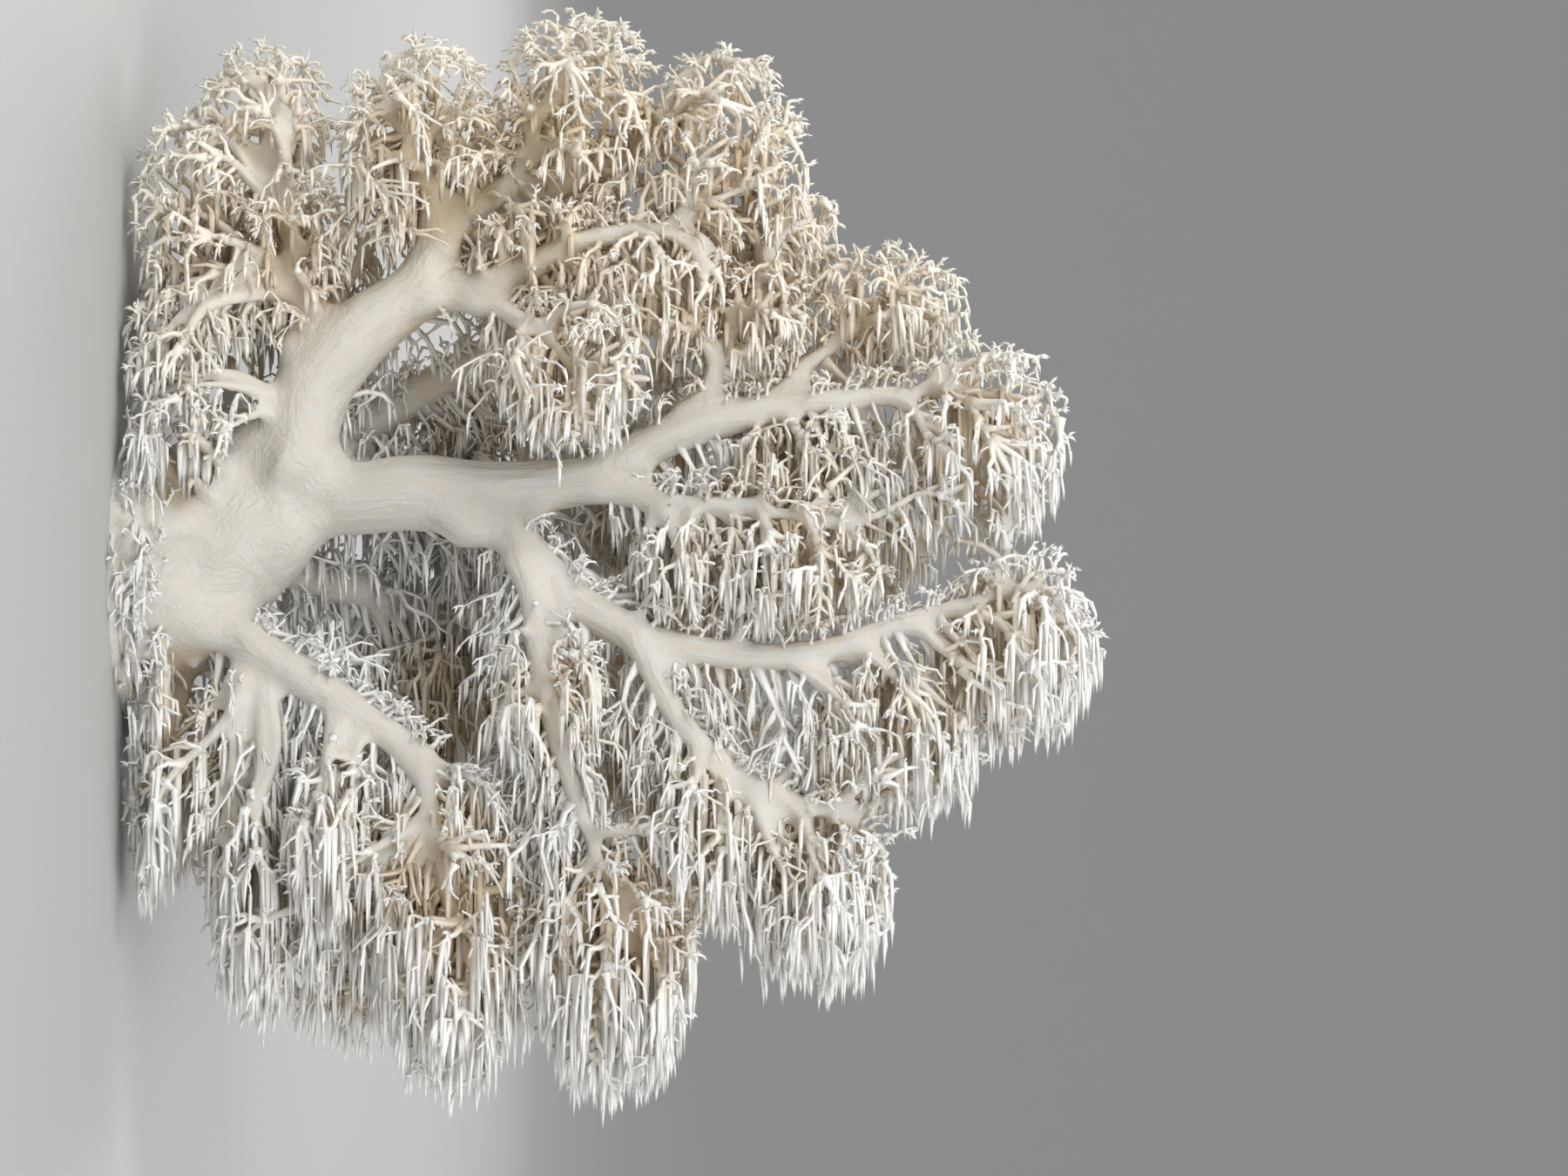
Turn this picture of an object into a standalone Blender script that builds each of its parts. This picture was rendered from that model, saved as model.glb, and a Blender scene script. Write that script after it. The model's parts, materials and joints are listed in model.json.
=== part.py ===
"""A branched tooth fungus of the lion's mane family, cut flat from its log and resting on the cut.

The cut is the plane z = 0. Three directions describe the growing fungus: OUT is away from the log,
DOWN is the way its spines hang while it grows, and SIDE is across. Resting on the cut, OUT is +Z,
DOWN is +X and SIDE is +Y. The stem and limbs are tapered tubes, split at the main forks. Each tuft of
spines is one closed solid that reaches the tips of its spines. All sizes are in millimetres.
"""

import math

import bmesh
import bpy
import numpy as np
from mathutils import Vector

MM = 0.001
LOG_SIZE = 300
GAP = 0.3
FLOOR_CLEARANCE = 1.2
POINTS_PER_SPAN = 2
TUBE_RESOLUTION = 2
ROOM = 0.42
TUFT_SUBDIVISIONS = 2
TUFT_FULLNESS = 1.04

FLESH = (0.86, 0.80, 0.70)
SPINES = (0.80, 0.72, 0.60)
FLESH_ROUGHNESS = 0.55
SPINE_ROUGHNESS = 0.5

# Each limb: the limb it grows from, other limbs it makes room for, and its route.
# A route point is out, down, side, radius.
LIMBS = {
    "stem": (None, (), (
        (-6, 4, 1, 42), (2, 4, 1, 31), (10, 4, 1, 21.5), (18, 1, 1, 17), (37, -18, 0, 13.5))),
    "upper_limb": ("stem", (), (
        (33, -18, 0, 9), (39, -34, -2, 9), (50, -49, -4, 8), (62, -58, -5, 7), (69, -63, -5, 6.4))),
    "middle_limb": ("stem", ("upper_limb",), (
        (33, -14, 0, 9), (46, -17, 0, 9.6), (72, -14, -2, 8.8), (92, -16, -2, 6.2), (109, -18, -2, 5.4))),
    "foot_limb": ("stem", (), (
        (14, 4, -3, 6), (21, 16, -11, 5.8), (38, 25, -15, 5), (53, 35, -18, 4.4), (71, 46, -21, 3))),
    "upper_left_limb": ("upper_limb", ("stem",), (
        (43, -44, -3, 4.6), (39, -60, -4, 4), (37, -74, -3, 2.4))),
    "crown_limb": ("upper_limb", (), (
        (67, -62, -5, 5), (72, -74, -4, 5), (79, -80, -2, 4.5), (99, -85, 2, 3.3), (116, -94, 3, 1.9))),
    "crown_left_branch": ("crown_limb", (), (
        (72, -76, -4, 3.4), (68, -88, -8, 2.9), (63, -98, -9, 2.2), (58, -108, -10, 1.4))),
    "crown_top_branch": ("crown_limb", (), (
        (86, -82, -1, 3), (92, -94, -5, 2.5), (98, -109, -8, 1.5))),
    "shoulder_limb": ("upper_limb", ("crown_limb",), (
        (67, -62, -6, 4.8), (80, -59, -9, 4.3), (102, -71, -12, 3), (124, -75, -12, 1.4))),
    "pendant_branch": ("shoulder_limb", (), (
        (81, -59, -10, 2.8), (89, -54, -17, 2.5), (98, -49, -22, 2.1), (104, -40, -25, 1.4))),
    "outer_limb": ("middle_limb", (), (
        (107, -18, -2, 4.6), (117, -25, -3, 4.8), (133, -31, -5, 4.3), (158, -35, -9, 3),
        (183, -38, -12, 1.7))),
    "raised_branch": ("outer_limb", (), (
        (129, -31, -4, 2.8), (134, -42, -4, 2.6), (144, -64, -2, 1.4))),
    "fan_branch": ("outer_limb", (), (
        (144, -33, -6, 2.8), (154, -43, -2, 2.4), (174, -58, 3, 1.3))),
    "inner_branch": ("middle_limb", ("outer_limb",), (
        (106, -17, -3, 3.4), (121, -12, -10, 3), (142, -11, -17, 2.4), (162, -7, -21, 1.4))),
    "lower_limb": ("middle_limb", (), (
        (80, -12, -4, 5.4), (90, -2, -9, 5.2), (104, 11, -14, 4.8), (120, 19, -18, 4.2))),
    "lower_outer_limb": ("lower_limb", (), (
        (118, 18, -18, 3.6), (134, 22, -20, 3.7), (155, 23, -21, 3.3), (178, 14, -19, 2.5),
        (206, 7, -17, 1.4))),
    "first_drop_branch": ("lower_limb", (), (
        (92, 0, -11, 3.8), (95, 20, -24, 3.4), (101, 46, -27, 2.6), (112, 76, -26, 1.4))),
    "second_drop_branch": ("lower_limb", ("lower_outer_limb",), (
        (117, 17, -18, 3.4), (124, 34, -24, 3.2), (140, 50, -26, 2.6), (164, 58, -24, 1.7),
        (172, 65, -23, 1.2))),
    "foot_drop_branch": ("foot_limb", (), (
        (66, 43, -20, 3), (71, 56, -24, 2.8), (73, 70, -25, 2.3), (79, 88, -25, 1.4))),
    "back_upper_limb": ("stem", ("upper_limb", "middle_limb"), (
        (30, -13, 3, 6.5), (50, -30, 20, 5.2), (78, -48, 31, 4), (104, -66, 36, 2))),
    "back_middle_limb": ("middle_limb", ("stem",), (
        (46, -17, 2, 6.2), (66, -16, 19, 5.4), (98, -13, 32, 4.2), (142, -12, 36, 1.8))),
    "back_lower_limb": ("stem", (), (
        (20, -3, 4, 6), (40, 5, 19, 5), (66, 12, 29, 4.4), (92, 28, 34, 3.2), (114, 50, 32, 1.7))),
}

# Each tuft: the middle of its solid and half its size, both as out, down, side.
TUFTS = {
    "crown_left_tuft": ((68, -92, -8), (20, 26, 21)),
    "crown_top_tuft": ((103, -101, -4), (20, 24, 25)),
    "crown_right_tuft": ((136, -89, -2), (20, 28, 24)),
    "crown_tip_tuft": ((154, -72, 11), (10, 15, 13)),
    "log_top_tuft": ((30, -101, 4), (16, 17, 17)),
    "log_upper_tuft": ((16, -75, -5), (15, 32, 17)),
    "log_small_tuft": ((10, -44, -14), (10, 15, 12)),
    "collar_tuft": ((13, -24, -19), (12, 16, 13)),
    "upper_left_tuft": ((38, -68, -5), (13, 22, 15)),
    "shoulder_tuft": ((96, -68, -14), (17, 15, 13)),
    "shoulder_outer_tuft": ((122, -62, -13), (17, 17, 14)),
    "pendant_tuft": ((103, -40, -25), (18, 19, 13)),
    "raised_tuft": ((143, -55, -4), (14, 15, 14)),
    "fan_tuft": ((173, -56, 2), (20, 16, 17)),
    "outer_tuft": ((194, -24, -11), (21, 26, 20)),
    "outer_hanging_tuft": ((157, -19, -9), (20, 15, 13)),
    "inner_tuft": ((153, 4, -20), (20, 18, 14)),
    "inner_hanging_tuft": ((127, 5, -15), (12, 16, 12)),
    "lower_outer_tuft": ((202, 22, -16), (20, 25, 18)),
    "lower_middle_tuft": ((174, 43, -20), (21, 21, 16)),
    "second_drop_inner_tuft": ((131, 65, -24), (14, 30, 16)),
    "second_drop_outer_tuft": ((158, 76, -22), (17, 26, 18)),
    "first_drop_upper_tuft": ((97, 33, -25), (13, 21, 13)),
    "first_drop_tuft": ((112, 87, -24), (20, 39, 20)),
    "foot_drop_tuft": ((76, 83, -22), (19, 42, 20)),
    "foot_middle_tuft": ((49, 66, -25), (11, 26, 14)),
    "foot_inner_tuft": ((31, 72, -16), (11, 38, 15)),
    "log_lower_tuft": ((13, 55, -13), (11, 45, 17)),
    "back_crown_tuft": ((86, -82, 32), (30, 28, 20)),
    "back_shoulder_tuft": ((128, -56, 28), (26, 26, 20)),
    "back_log_tuft": ((32, -58, 26), (24, 34, 18)),
    "back_inner_tuft": ((76, -18, 40), (26, 26, 18)),
    "back_middle_tuft": ((122, -14, 36), (28, 24, 20)),
    "back_outer_tuft": ((164, -8, 20), (26, 26, 18)),
    "back_lower_tuft": ((124, 44, 22), (28, 30, 22)),
    "back_foot_tuft": ((66, 36, 34), (26, 30, 20)),
    "back_drop_tuft": ((52, 84, 14), (28, 34, 20)),
}


def point(out, down, side):
    """A place in the part's frame, in metres."""
    return Vector((down, side, out)) * MM


def new_material(name, colour, roughness):
    """A plain material in the colour of the dry surface."""
    material = bpy.data.materials.new(name)
    material.use_nodes = True
    shader = material.node_tree.nodes["Principled BSDF"]
    shader.inputs["Base Color"].default_value = (*colour, 1)
    shader.inputs["Roughness"].default_value = roughness
    shader.inputs["Metallic"].default_value = 0
    return material


def smooth_route(route):
    """Points of a smooth curve through the route's own points, by the Catmull-Rom rule."""
    knots = np.array(route, float)
    before = 2 * knots[0] - knots[1]
    after = 2 * knots[-1] - knots[-2]
    padded = np.vstack([before, knots, after])
    smooth = []
    for a, b, c, d in zip(padded, padded[1:], padded[2:], padded[3:]):
        for step in range(POINTS_PER_SPAN):
            t = step / POINTS_PER_SPAN
            smooth.append(0.5 * (2 * b + (c - a) * t + (2 * a - 5 * b + 4 * c - d) * t**2
                                 + (3 * b - a - 3 * c + d) * t**3))
    smooth.append(knots[-1])
    return np.array(smooth)


def tube(name, points):
    """A tapered tube through points of out, down, side and radius, as a mesh object."""
    curve = bpy.data.curves.new(name, "CURVE")
    curve.dimensions = "3D"
    curve.bevel_depth = MM
    curve.bevel_resolution = TUBE_RESOLUTION
    curve.use_fill_caps = True
    spline = curve.splines.new("POLY")
    spline.points.add(len(points) - 1)
    for place, (out, down, side, radius) in zip(spline.points, points):
        place.co = (*point(out, down, side), 1)
        place.radius = radius
    guide = bpy.data.objects.new(name + "_guide", curve)
    bpy.context.scene.collection.objects.link(guide)
    mesh = bpy.data.meshes.new_from_object(guide.evaluated_get(bpy.context.evaluated_depsgraph_get()))
    bpy.data.objects.remove(guide)
    shape = bmesh.new()
    shape.from_mesh(mesh)
    bmesh.ops.remove_doubles(shape, verts=shape.verts, dist=1e-5)
    bmesh.ops.recalc_face_normals(shape, faces=shape.faces)
    shape.to_mesh(mesh)
    shape.free()
    mesh.name = name
    return bpy.data.objects.new(name, mesh)


def room_round(limb):
    """A cutter with the limb's own shape, its surface moved outwards to leave the gap."""
    mesh = limb.data.copy()
    shape = bmesh.new()
    shape.from_mesh(mesh)
    shape.normal_update()
    for vert in shape.verts:
        vert.co += vert.normal * ROOM * MM
    shape.to_mesh(mesh)
    shape.free()
    return new_cutter(bpy.data.objects.new("room_of_" + limb.name, mesh))


def new_cutter(piece):
    """Marks an object as a cutter, which is not part of the model."""
    piece.hide_render = True
    piece.display_type = "WIRE"
    return piece


def cut_by(piece, cutters):
    """Takes each cutter out of a piece, in order."""
    for cutter in cutters:
        cut = piece.modifiers.new("room for " + cutter.name, "BOOLEAN")
        cut.operation = "DIFFERENCE"
        cut.solver = "EXACT"
        cut.object = cutter


def reach(half, direction):
    """How far an ellipsoid with these half sizes reaches along a unit direction."""
    return math.sqrt(sum((h * d) ** 2 for h, d in zip(half, direction)))


def shared_planes(name):
    """Planes that part a tuft from each neighbour it would run into, as (place, direction)."""
    middle, half = TUFTS[name]
    planes = []
    for other, (other_middle, other_half) in TUFTS.items():
        if other == name:
            continue
        across = np.subtract(other_middle, middle).astype(float)
        distance = np.linalg.norm(across)
        direction = across / distance
        own = reach(half, direction) * TUFT_FULLNESS
        theirs = reach(other_half, direction) * TUFT_FULLNESS
        if own + theirs > distance:
            place = middle + direction * (distance * own / (own + theirs) - GAP / 2)
            planes.append((place, direction))
    return planes


def tuft(name):
    """A rounded solid, flat where it meets a neighbouring tuft and where it nears the cut."""
    middle, half = TUFTS[name]
    shape = bmesh.new()
    bmesh.ops.create_icosphere(shape, subdivisions=TUFT_SUBDIVISIONS, radius=1)
    for vert in shape.verts:
        down, side, out = vert.co * TUFT_FULLNESS
        vert.co = point(middle[0] + out * half[0], middle[1] + down * half[1], middle[2] + side * half[2])
    planes = shared_planes(name)
    planes.append(((FLOOR_CLEARANCE, 0, 0), (-1, 0, 0)))
    for place, direction in planes:
        cut = bmesh.ops.bisect_plane(
            shape, geom=shape.verts[:] + shape.edges[:] + shape.faces[:], dist=1e-7,
            plane_co=point(*place), plane_no=point(*direction).normalized(), clear_outer=True)
        rim = [item for item in cut["geom_cut"] if isinstance(item, bmesh.types.BMEdge)]
        if rim:
            bmesh.ops.holes_fill(shape, edges=rim, sides=0)
    bmesh.ops.dissolve_degenerate(shape, dist=1e-5, edges=shape.edges)
    bmesh.ops.recalc_face_normals(shape, faces=shape.faces)
    mesh = bpy.data.meshes.new(name)
    shape.to_mesh(mesh)
    shape.free()
    return bpy.data.objects.new(name, mesh)


def spans(corners):
    """The lowest and highest corner of an object's bounds, in metres."""
    places = np.array([tuple(corner) for corner in corners])
    return places.min(0), places.max(0)


def meet(one, other):
    """True if two objects' bounds overlap."""
    low, high = spans(one.bound_box)
    other_low, other_high = spans(other.bound_box)
    return bool(np.all(low < other_high) and np.all(other_low < high))


def build():
    """Models every limb and tuft, each as its own object."""
    for old in list(bpy.data.objects):
        bpy.data.objects.remove(old)
    parts = bpy.data.collections.new("lions_mane_mushroom")
    cutters = bpy.data.collections.new("cutters")
    for group in (parts, cutters):
        bpy.context.scene.collection.children.link(group)

    bpy.ops.mesh.primitive_cube_add(size=LOG_SIZE * MM, location=(0, 0, -LOG_SIZE * MM / 2))
    log = new_cutter(bpy.context.object)
    log.name = "log_face"
    for group in list(log.users_collection):
        group.objects.unlink(log)
    cutters.objects.link(log)

    rooms = {}
    for name, (parent, neighbours, route) in LIMBS.items():
        limb = tube(name, smooth_route(route))
        limb.data.materials.append(new_material(name + "_flesh", FLESH, FLESH_ROUGHNESS))
        parts.objects.link(limb)
        rooms[name] = room_round(limb)
        cutters.objects.link(rooms[name])
        cut_by(limb, [rooms[other] for other in (parent, *neighbours)] if parent else [log])
        limb.data.shade_smooth()

    for name in TUFTS:
        solid = tuft(name)
        solid.data.materials.append(new_material(name + "_spines", SPINES, SPINE_ROUGHNESS))
        parts.objects.link(solid)
        cut_by(solid, [room for room in rooms.values() if meet(solid, room)])


build()
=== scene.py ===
"""Dresses a branched tooth fungus of the lion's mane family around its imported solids.

The fungus rests on the flat cut where it left its log, the plane z = 0. OUT (+Z) points out of the
log, DOWN (+X) is the way the spines hung while it grew, and SIDE (+Y) is across. Every place comes
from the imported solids: a limb's axis is drawn through its own solid, and a tuft grows inside the
solid that reaches its tips. Lengths are in millimetres until a mesh is written.
"""

from __future__ import annotations

import json
import logging
import math
import zlib
from collections.abc import Callable
from dataclasses import dataclass, field, replace
from enum import Enum

import bmesh
import bpy
import numpy as np
from mathutils import Matrix, Vector

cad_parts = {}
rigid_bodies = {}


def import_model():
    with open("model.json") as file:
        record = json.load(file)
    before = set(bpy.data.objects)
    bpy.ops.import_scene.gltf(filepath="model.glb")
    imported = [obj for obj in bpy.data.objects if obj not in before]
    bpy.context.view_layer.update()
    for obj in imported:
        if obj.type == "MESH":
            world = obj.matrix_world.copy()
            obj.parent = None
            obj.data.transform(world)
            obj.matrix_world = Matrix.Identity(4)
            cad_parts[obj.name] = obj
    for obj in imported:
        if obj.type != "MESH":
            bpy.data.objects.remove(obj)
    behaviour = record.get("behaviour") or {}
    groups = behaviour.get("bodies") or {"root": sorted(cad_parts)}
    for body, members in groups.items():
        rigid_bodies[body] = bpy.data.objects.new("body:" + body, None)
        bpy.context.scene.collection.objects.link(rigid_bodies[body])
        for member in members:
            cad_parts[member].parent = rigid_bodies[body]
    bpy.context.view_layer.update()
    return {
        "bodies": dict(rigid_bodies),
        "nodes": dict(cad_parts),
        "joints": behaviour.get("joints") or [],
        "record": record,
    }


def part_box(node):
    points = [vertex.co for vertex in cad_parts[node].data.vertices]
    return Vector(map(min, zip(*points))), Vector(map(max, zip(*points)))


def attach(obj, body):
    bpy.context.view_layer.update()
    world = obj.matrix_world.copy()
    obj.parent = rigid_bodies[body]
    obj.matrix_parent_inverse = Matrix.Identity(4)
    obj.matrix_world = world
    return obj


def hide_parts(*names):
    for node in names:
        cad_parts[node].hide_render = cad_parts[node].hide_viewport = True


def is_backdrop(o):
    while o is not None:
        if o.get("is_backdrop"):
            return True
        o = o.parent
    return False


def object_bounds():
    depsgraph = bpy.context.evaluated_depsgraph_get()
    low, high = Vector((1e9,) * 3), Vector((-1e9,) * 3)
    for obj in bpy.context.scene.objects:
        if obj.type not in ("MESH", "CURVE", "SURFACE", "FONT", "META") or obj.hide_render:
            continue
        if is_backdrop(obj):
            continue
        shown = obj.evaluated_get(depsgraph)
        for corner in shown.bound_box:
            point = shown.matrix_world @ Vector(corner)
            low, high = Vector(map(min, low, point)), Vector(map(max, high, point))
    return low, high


Array = np.ndarray
LOG = logging.getLogger("lions_mane")

MM = 0.001
SEED = 20
DOWN = np.array((1.0, 0.0, 0.0))
SIDE = np.array((0.0, 1.0, 0.0))
OUT = np.array((0.0, 0.0, 1.0))
BODY = "root"
BAKE_MAP = "OFBake"


class Slot(Enum):
    """The record's material slots."""

    FLESH = "flesh"
    CREAM = "cream_spines"
    WHITE = "white_spines"


# ---------------------------------------------------------------- small maths


def unit(vectors: Array) -> Array:
    """Each vector along the last axis, divided by its own length."""
    return vectors / np.maximum(np.linalg.norm(vectors, axis=-1, keepdims=True), 1e-9)


def smoothstep(low: float, high: float, value: Array | float) -> Array:
    """An S-shaped ramp from 0 at low to 1 at high: 3t squared less 2t cubed."""
    t = np.clip((np.asarray(value, float) - low) / (high - low), 0, 1)
    return t * t * (3 - 2 * t)


def mix(first: Array | float, second: Array | float, share: Array | float) -> Array:
    """A straight blend, first at share 0 and second at share 1."""
    return first + (second - first) * share


def random_for(name: str) -> np.random.Generator:
    """A seeded source of random numbers that depends only on a name."""
    return np.random.default_rng([SEED, zlib.crc32(name.encode())])


def scatter(random: np.random.Generator, count: int) -> Array:
    """Unit vectors spread evenly over all directions."""
    return unit(random.normal(size=(count, 3)))


def value_noise(places: Array, seed: int = 0) -> Array:
    """Smooth noise from -1 to 1: random numbers on a unit lattice, blended between its corners.

    Args:
        places: Where to read it, (n, 3).
        seed: Which noise.

    Returns:
        The noise, (n,).
    """
    cell = np.floor(places).astype(np.int64)
    share = places - cell
    share = share * share * (3 - 2 * share)
    total = np.zeros(len(places))
    for corner in np.ndindex(2, 2, 2):
        at = cell + corner
        mixed = (at[:, 0] * 73856093) ^ (at[:, 1] * 19349663) ^ (at[:, 2] * 83492791) ^ (seed * 2654435761)
        mixed = ((mixed ^ (mixed >> 13)) * 1274126177) & 0xFFFFFFFF
        mixed = ((mixed ^ (mixed >> 16)) * 2246822519) & 0xFFFFFFFF
        weight = np.where(corner, share, 1 - share).prod(1)
        total += weight * (mixed / 2**31 - 1)
    return total


def spread_out(candidates: Array, count: int, random: np.random.Generator) -> Array:
    """Picks points far from each other: each next one is the farthest from all picked before.

    Args:
        candidates: Points to pick from, (n, 3).
        count: How many to pick.
        random: The source of random numbers, for the first pick.

    Returns:
        The picked points, (count, 3), or all of them if there are too few.
    """
    if len(candidates) <= count:
        return candidates
    picked = [int(random.integers(len(candidates)))]
    nearest = np.linalg.norm(candidates - candidates[picked[0]], axis=1)
    for _ in range(count - 1):
        picked.append(int(nearest.argmax()))
        nearest = np.minimum(nearest, np.linalg.norm(candidates - candidates[picked[-1]], axis=1))
    return candidates[picked]


def nearest_rows(points: Array, targets: Array, chunk: int = 4000) -> tuple[Array, Array]:
    """For each point, the row of the nearest target and the distance to it.

    Args:
        points: Places to look from, (n, 3).
        targets: Places to look for, (m, 3).
        chunk: How many points are compared at a time, to save memory.

    Returns:
        The row numbers, (n,), and the distances, (n,).
    """
    rows = np.empty(len(points), int)
    gaps = np.empty(len(points))
    squares = (targets**2).sum(1)
    for start in range(0, len(points), chunk):
        part = points[start : start + chunk]
        square = squares[None] - 2 * part @ targets.T + (part**2).sum(1)[:, None]
        best = square.argmin(1)
        rows[start : start + chunk] = best
        gaps[start : start + chunk] = np.sqrt(np.maximum(square[np.arange(len(part)), best], 0))
    return rows, gaps


# ---------------------------------------------------------------- strands: many thin tapering tubes


@dataclass
class Strands:
    """Many tapering tubes of the same make. All have the same number of points along them.

    Attributes:
        points: The points along each strand, (n, k, 3).
        radii: The radius at each point, (n, k).
        sides: How many sides each tube has.
        tip_from: How far along a strand its whiter tip begins, from 0 to 1, or 1 for none.
        pointed: Whether the last point is a sharp tip instead of a ring with a rounded end.
    """

    points: Array
    radii: Array
    sides: int
    tip_from: float = 1.0
    pointed: bool = False

    def __len__(self) -> int:
        """How many strands there are."""
        return len(self.points)

    @property
    def directions(self) -> Array:
        """The unit direction at each point: the difference of its neighbours, made unit length."""
        ahead = np.diff(self.points, axis=1)
        middle = np.concatenate([ahead[:, :1], (ahead[:, 1:] + ahead[:, :-1]) / 2, ahead[:, -1:]], axis=1)
        return unit(middle)

    @property
    def lengths(self) -> Array:
        """Each strand's length, the sum of its steps."""
        return np.linalg.norm(np.diff(self.points, axis=1), axis=-1).sum(1)

    def keep(self, wanted: Array) -> Strands:
        """The strands for which wanted is true."""
        return replace(self, points=self.points[wanted], radii=self.radii[wanted])

    @property
    def rings(self) -> int:
        """How many rings of corners each tube has."""
        return self.points.shape[1] - int(self.pointed)

    def at(self, rows: Array, places: Array) -> tuple[Array, Array, Array]:
        """Reads strands part way along, by straight interpolation between their points.

        Args:
            rows: Which strand to read, (m,).
            places: How far along it, from 0 to 1, (m,).

        Returns:
            The positions (m, 3), the unit directions (m, 3) and the radii (m,).
        """
        steps = self.points.shape[1] - 1
        spot = np.clip(places, 0, 1) * steps
        low = np.minimum(spot.astype(int), steps - 1)
        share = (spot - low)[:, None]
        directions = self.directions
        position = mix(self.points[rows, low], self.points[rows, low + 1], share)
        direction = unit(mix(directions[rows, low], directions[rows, low + 1], share))
        radius = mix(self.radii[rows, low], self.radii[rows, low + 1], share[:, 0])
        return position, direction, radius

    def joined(self, other: Strands) -> Strands:
        """These strands and others of the same kind."""
        return replace(self, points=np.concatenate([self.points, other.points]),
                       radii=np.concatenate([self.radii, other.radii]))

    def triangles(self) -> int:
        """How many triangles the tubes come to, with their tips and flat bases."""
        return len(self) * (2 * self.sides * (self.rings - 1) + self.sides + self.sides - 2)

    def surface(self) -> Surface:
        """The closed tubes, as arrays.

        A ring of points goes round each point of a strand, at cos a times one cross direction plus
        sin a times the other, and the cross directions are carried along without twist. A fan of
        triangles closes the tip over a rounded end, and one flat face closes the base.

        Returns:
            The vertices, faces, values and bake map of all the tubes.
        """
        count, rings = len(self), self.rings
        ahead = self.directions
        across = np.empty_like(ahead)
        helper = np.where(np.abs(ahead[:, :1, 0:1]) > 0.8, SIDE, DOWN)[:, 0]
        across[:, 0] = unit(np.cross(ahead[:, 0], helper))
        for ring in range(1, ahead.shape[1]):
            carried = across[:, ring - 1]
            along = (carried * ahead[:, ring]).sum(-1, keepdims=True)
            across[:, ring] = unit(carried - along * ahead[:, ring])
        other = np.cross(ahead, across)
        angle = np.arange(self.sides) * (2 * math.pi / self.sides)
        offset = (np.cos(angle)[:, None] * across[:, :, None] + np.sin(angle)[:, None] * other[:, :, None])
        rims = (self.points[:, :, None] + offset * self.radii[:, :, None, None])[:, :rings]
        rounded = ahead[:, -1] * self.radii[:, -1:] * (0.0 if self.pointed else 0.9)
        ends = self.points[:, -1] + rounded
        vertices = np.concatenate([rims.reshape(count, -1, 3), ends[:, None]], axis=1)
        per_strand = rings * self.sides + 1

        side, ring = np.meshgrid(np.arange(self.sides), np.arange(rings - 1))
        side, ring = side.ravel(), ring.ravel()
        after = (side + 1) % self.sides
        quads = np.stack([ring * self.sides + side, ring * self.sides + after,
                          (ring + 1) * self.sides + after, (ring + 1) * self.sides + side], 1)
        last = (rings - 1) * self.sides
        around = np.arange(self.sides)
        fans = np.stack([last + around, last + (around + 1) % self.sides,
                         np.full(self.sides, per_strand - 1)], 1)
        cap = around[::-1][None]
        bases = np.arange(count)[:, None, None] * per_strand
        faces = [(bases + faces_of_one).reshape(-1, faces_of_one.shape[1])
                 for faces_of_one in (quads, fans, cap)]

        low, top = 0.12, 1 - 0.4 / rings
        heights = mix(low, top, ring / (rings - 1))
        step = (top - low) / (rings - 1)
        quad_map = np.stack([np.stack([side, side + 1, side + 1, side], 1) / self.sides,
                             np.stack([heights, heights, heights + step, heights + step], 1)], -1)
        fan_map = np.stack([np.stack([around, around + 1, around + 0.5], 1) / self.sides,
                            np.broadcast_to([top, top, 1.0], (self.sides, 3))], -1)
        turn = angle[::-1]
        cap_map = np.stack([0.5 + 0.3 * np.cos(turn), 0.05 + 0.04 * np.sin(turn)], -1)[None]
        maps = [np.broadcast_to(one, (count, *one.shape)) for one in (quad_map, fan_map, cap_map)]

        along = np.linspace(0, 1, self.points.shape[1])[:rings]
        tips = smoothstep(self.tip_from, 1.0001, along) if self.tip_from < 1 else np.zeros(rings)
        tip = np.concatenate([np.repeat(tips, self.sides), [float(self.tip_from < 1)]])
        return Surface(vertices.reshape(-1, 3), faces, np.tile(tip, count), maps)


@dataclass
class Surface:
    """A mesh as arrays.

    Attributes:
        vertices: Vertex places in millimetres, (n, 3).
        faces: Faces grouped by their number of corners, each (m, corners).
        tip: How near each vertex is to a strand's tip, from 0 to 1.
        maps: For each group of faces, its corners' places in the strand's own unit square,
            (strands, faces of one strand, corners, 2).
    """

    vertices: Array
    faces: list[Array]
    tip: Array
    maps: list[Array] = field(default_factory=list)


def write_mesh(name: str, vertices: Array, faces: list[Array]) -> bpy.types.Mesh:
    """Puts arrays into a new mesh, in metres, with smooth faces."""
    mesh = bpy.data.meshes.new(name)
    corners = np.concatenate([group.ravel() for group in faces]).astype(np.int32)
    totals = np.concatenate([np.full(len(group), group.shape[1]) for group in faces])
    mesh.vertices.add(len(vertices))
    mesh.vertices.foreach_set("co", (vertices * MM).astype(np.float32).ravel())
    mesh.loops.add(len(corners))
    mesh.loops.foreach_set("vertex_index", corners)
    mesh.polygons.add(len(totals))
    mesh.polygons.foreach_set("loop_start", (np.cumsum(totals) - totals).astype(np.int32))
    mesh.polygons.foreach_set("use_smooth", np.ones(len(totals), bool))
    mesh.update(calc_edges=True)
    return mesh


def add_values(mesh: bpy.types.Mesh, name: str, values: Array) -> None:
    """Stores one number or one vector for each vertex."""
    kind = "FLOAT" if values.ndim == 1 else "FLOAT_VECTOR"
    attribute = mesh.attributes.new(name, kind, "POINT")
    attribute.data.foreach_set("value" if values.ndim == 1 else "vector", values.astype(np.float32).ravel())


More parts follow.
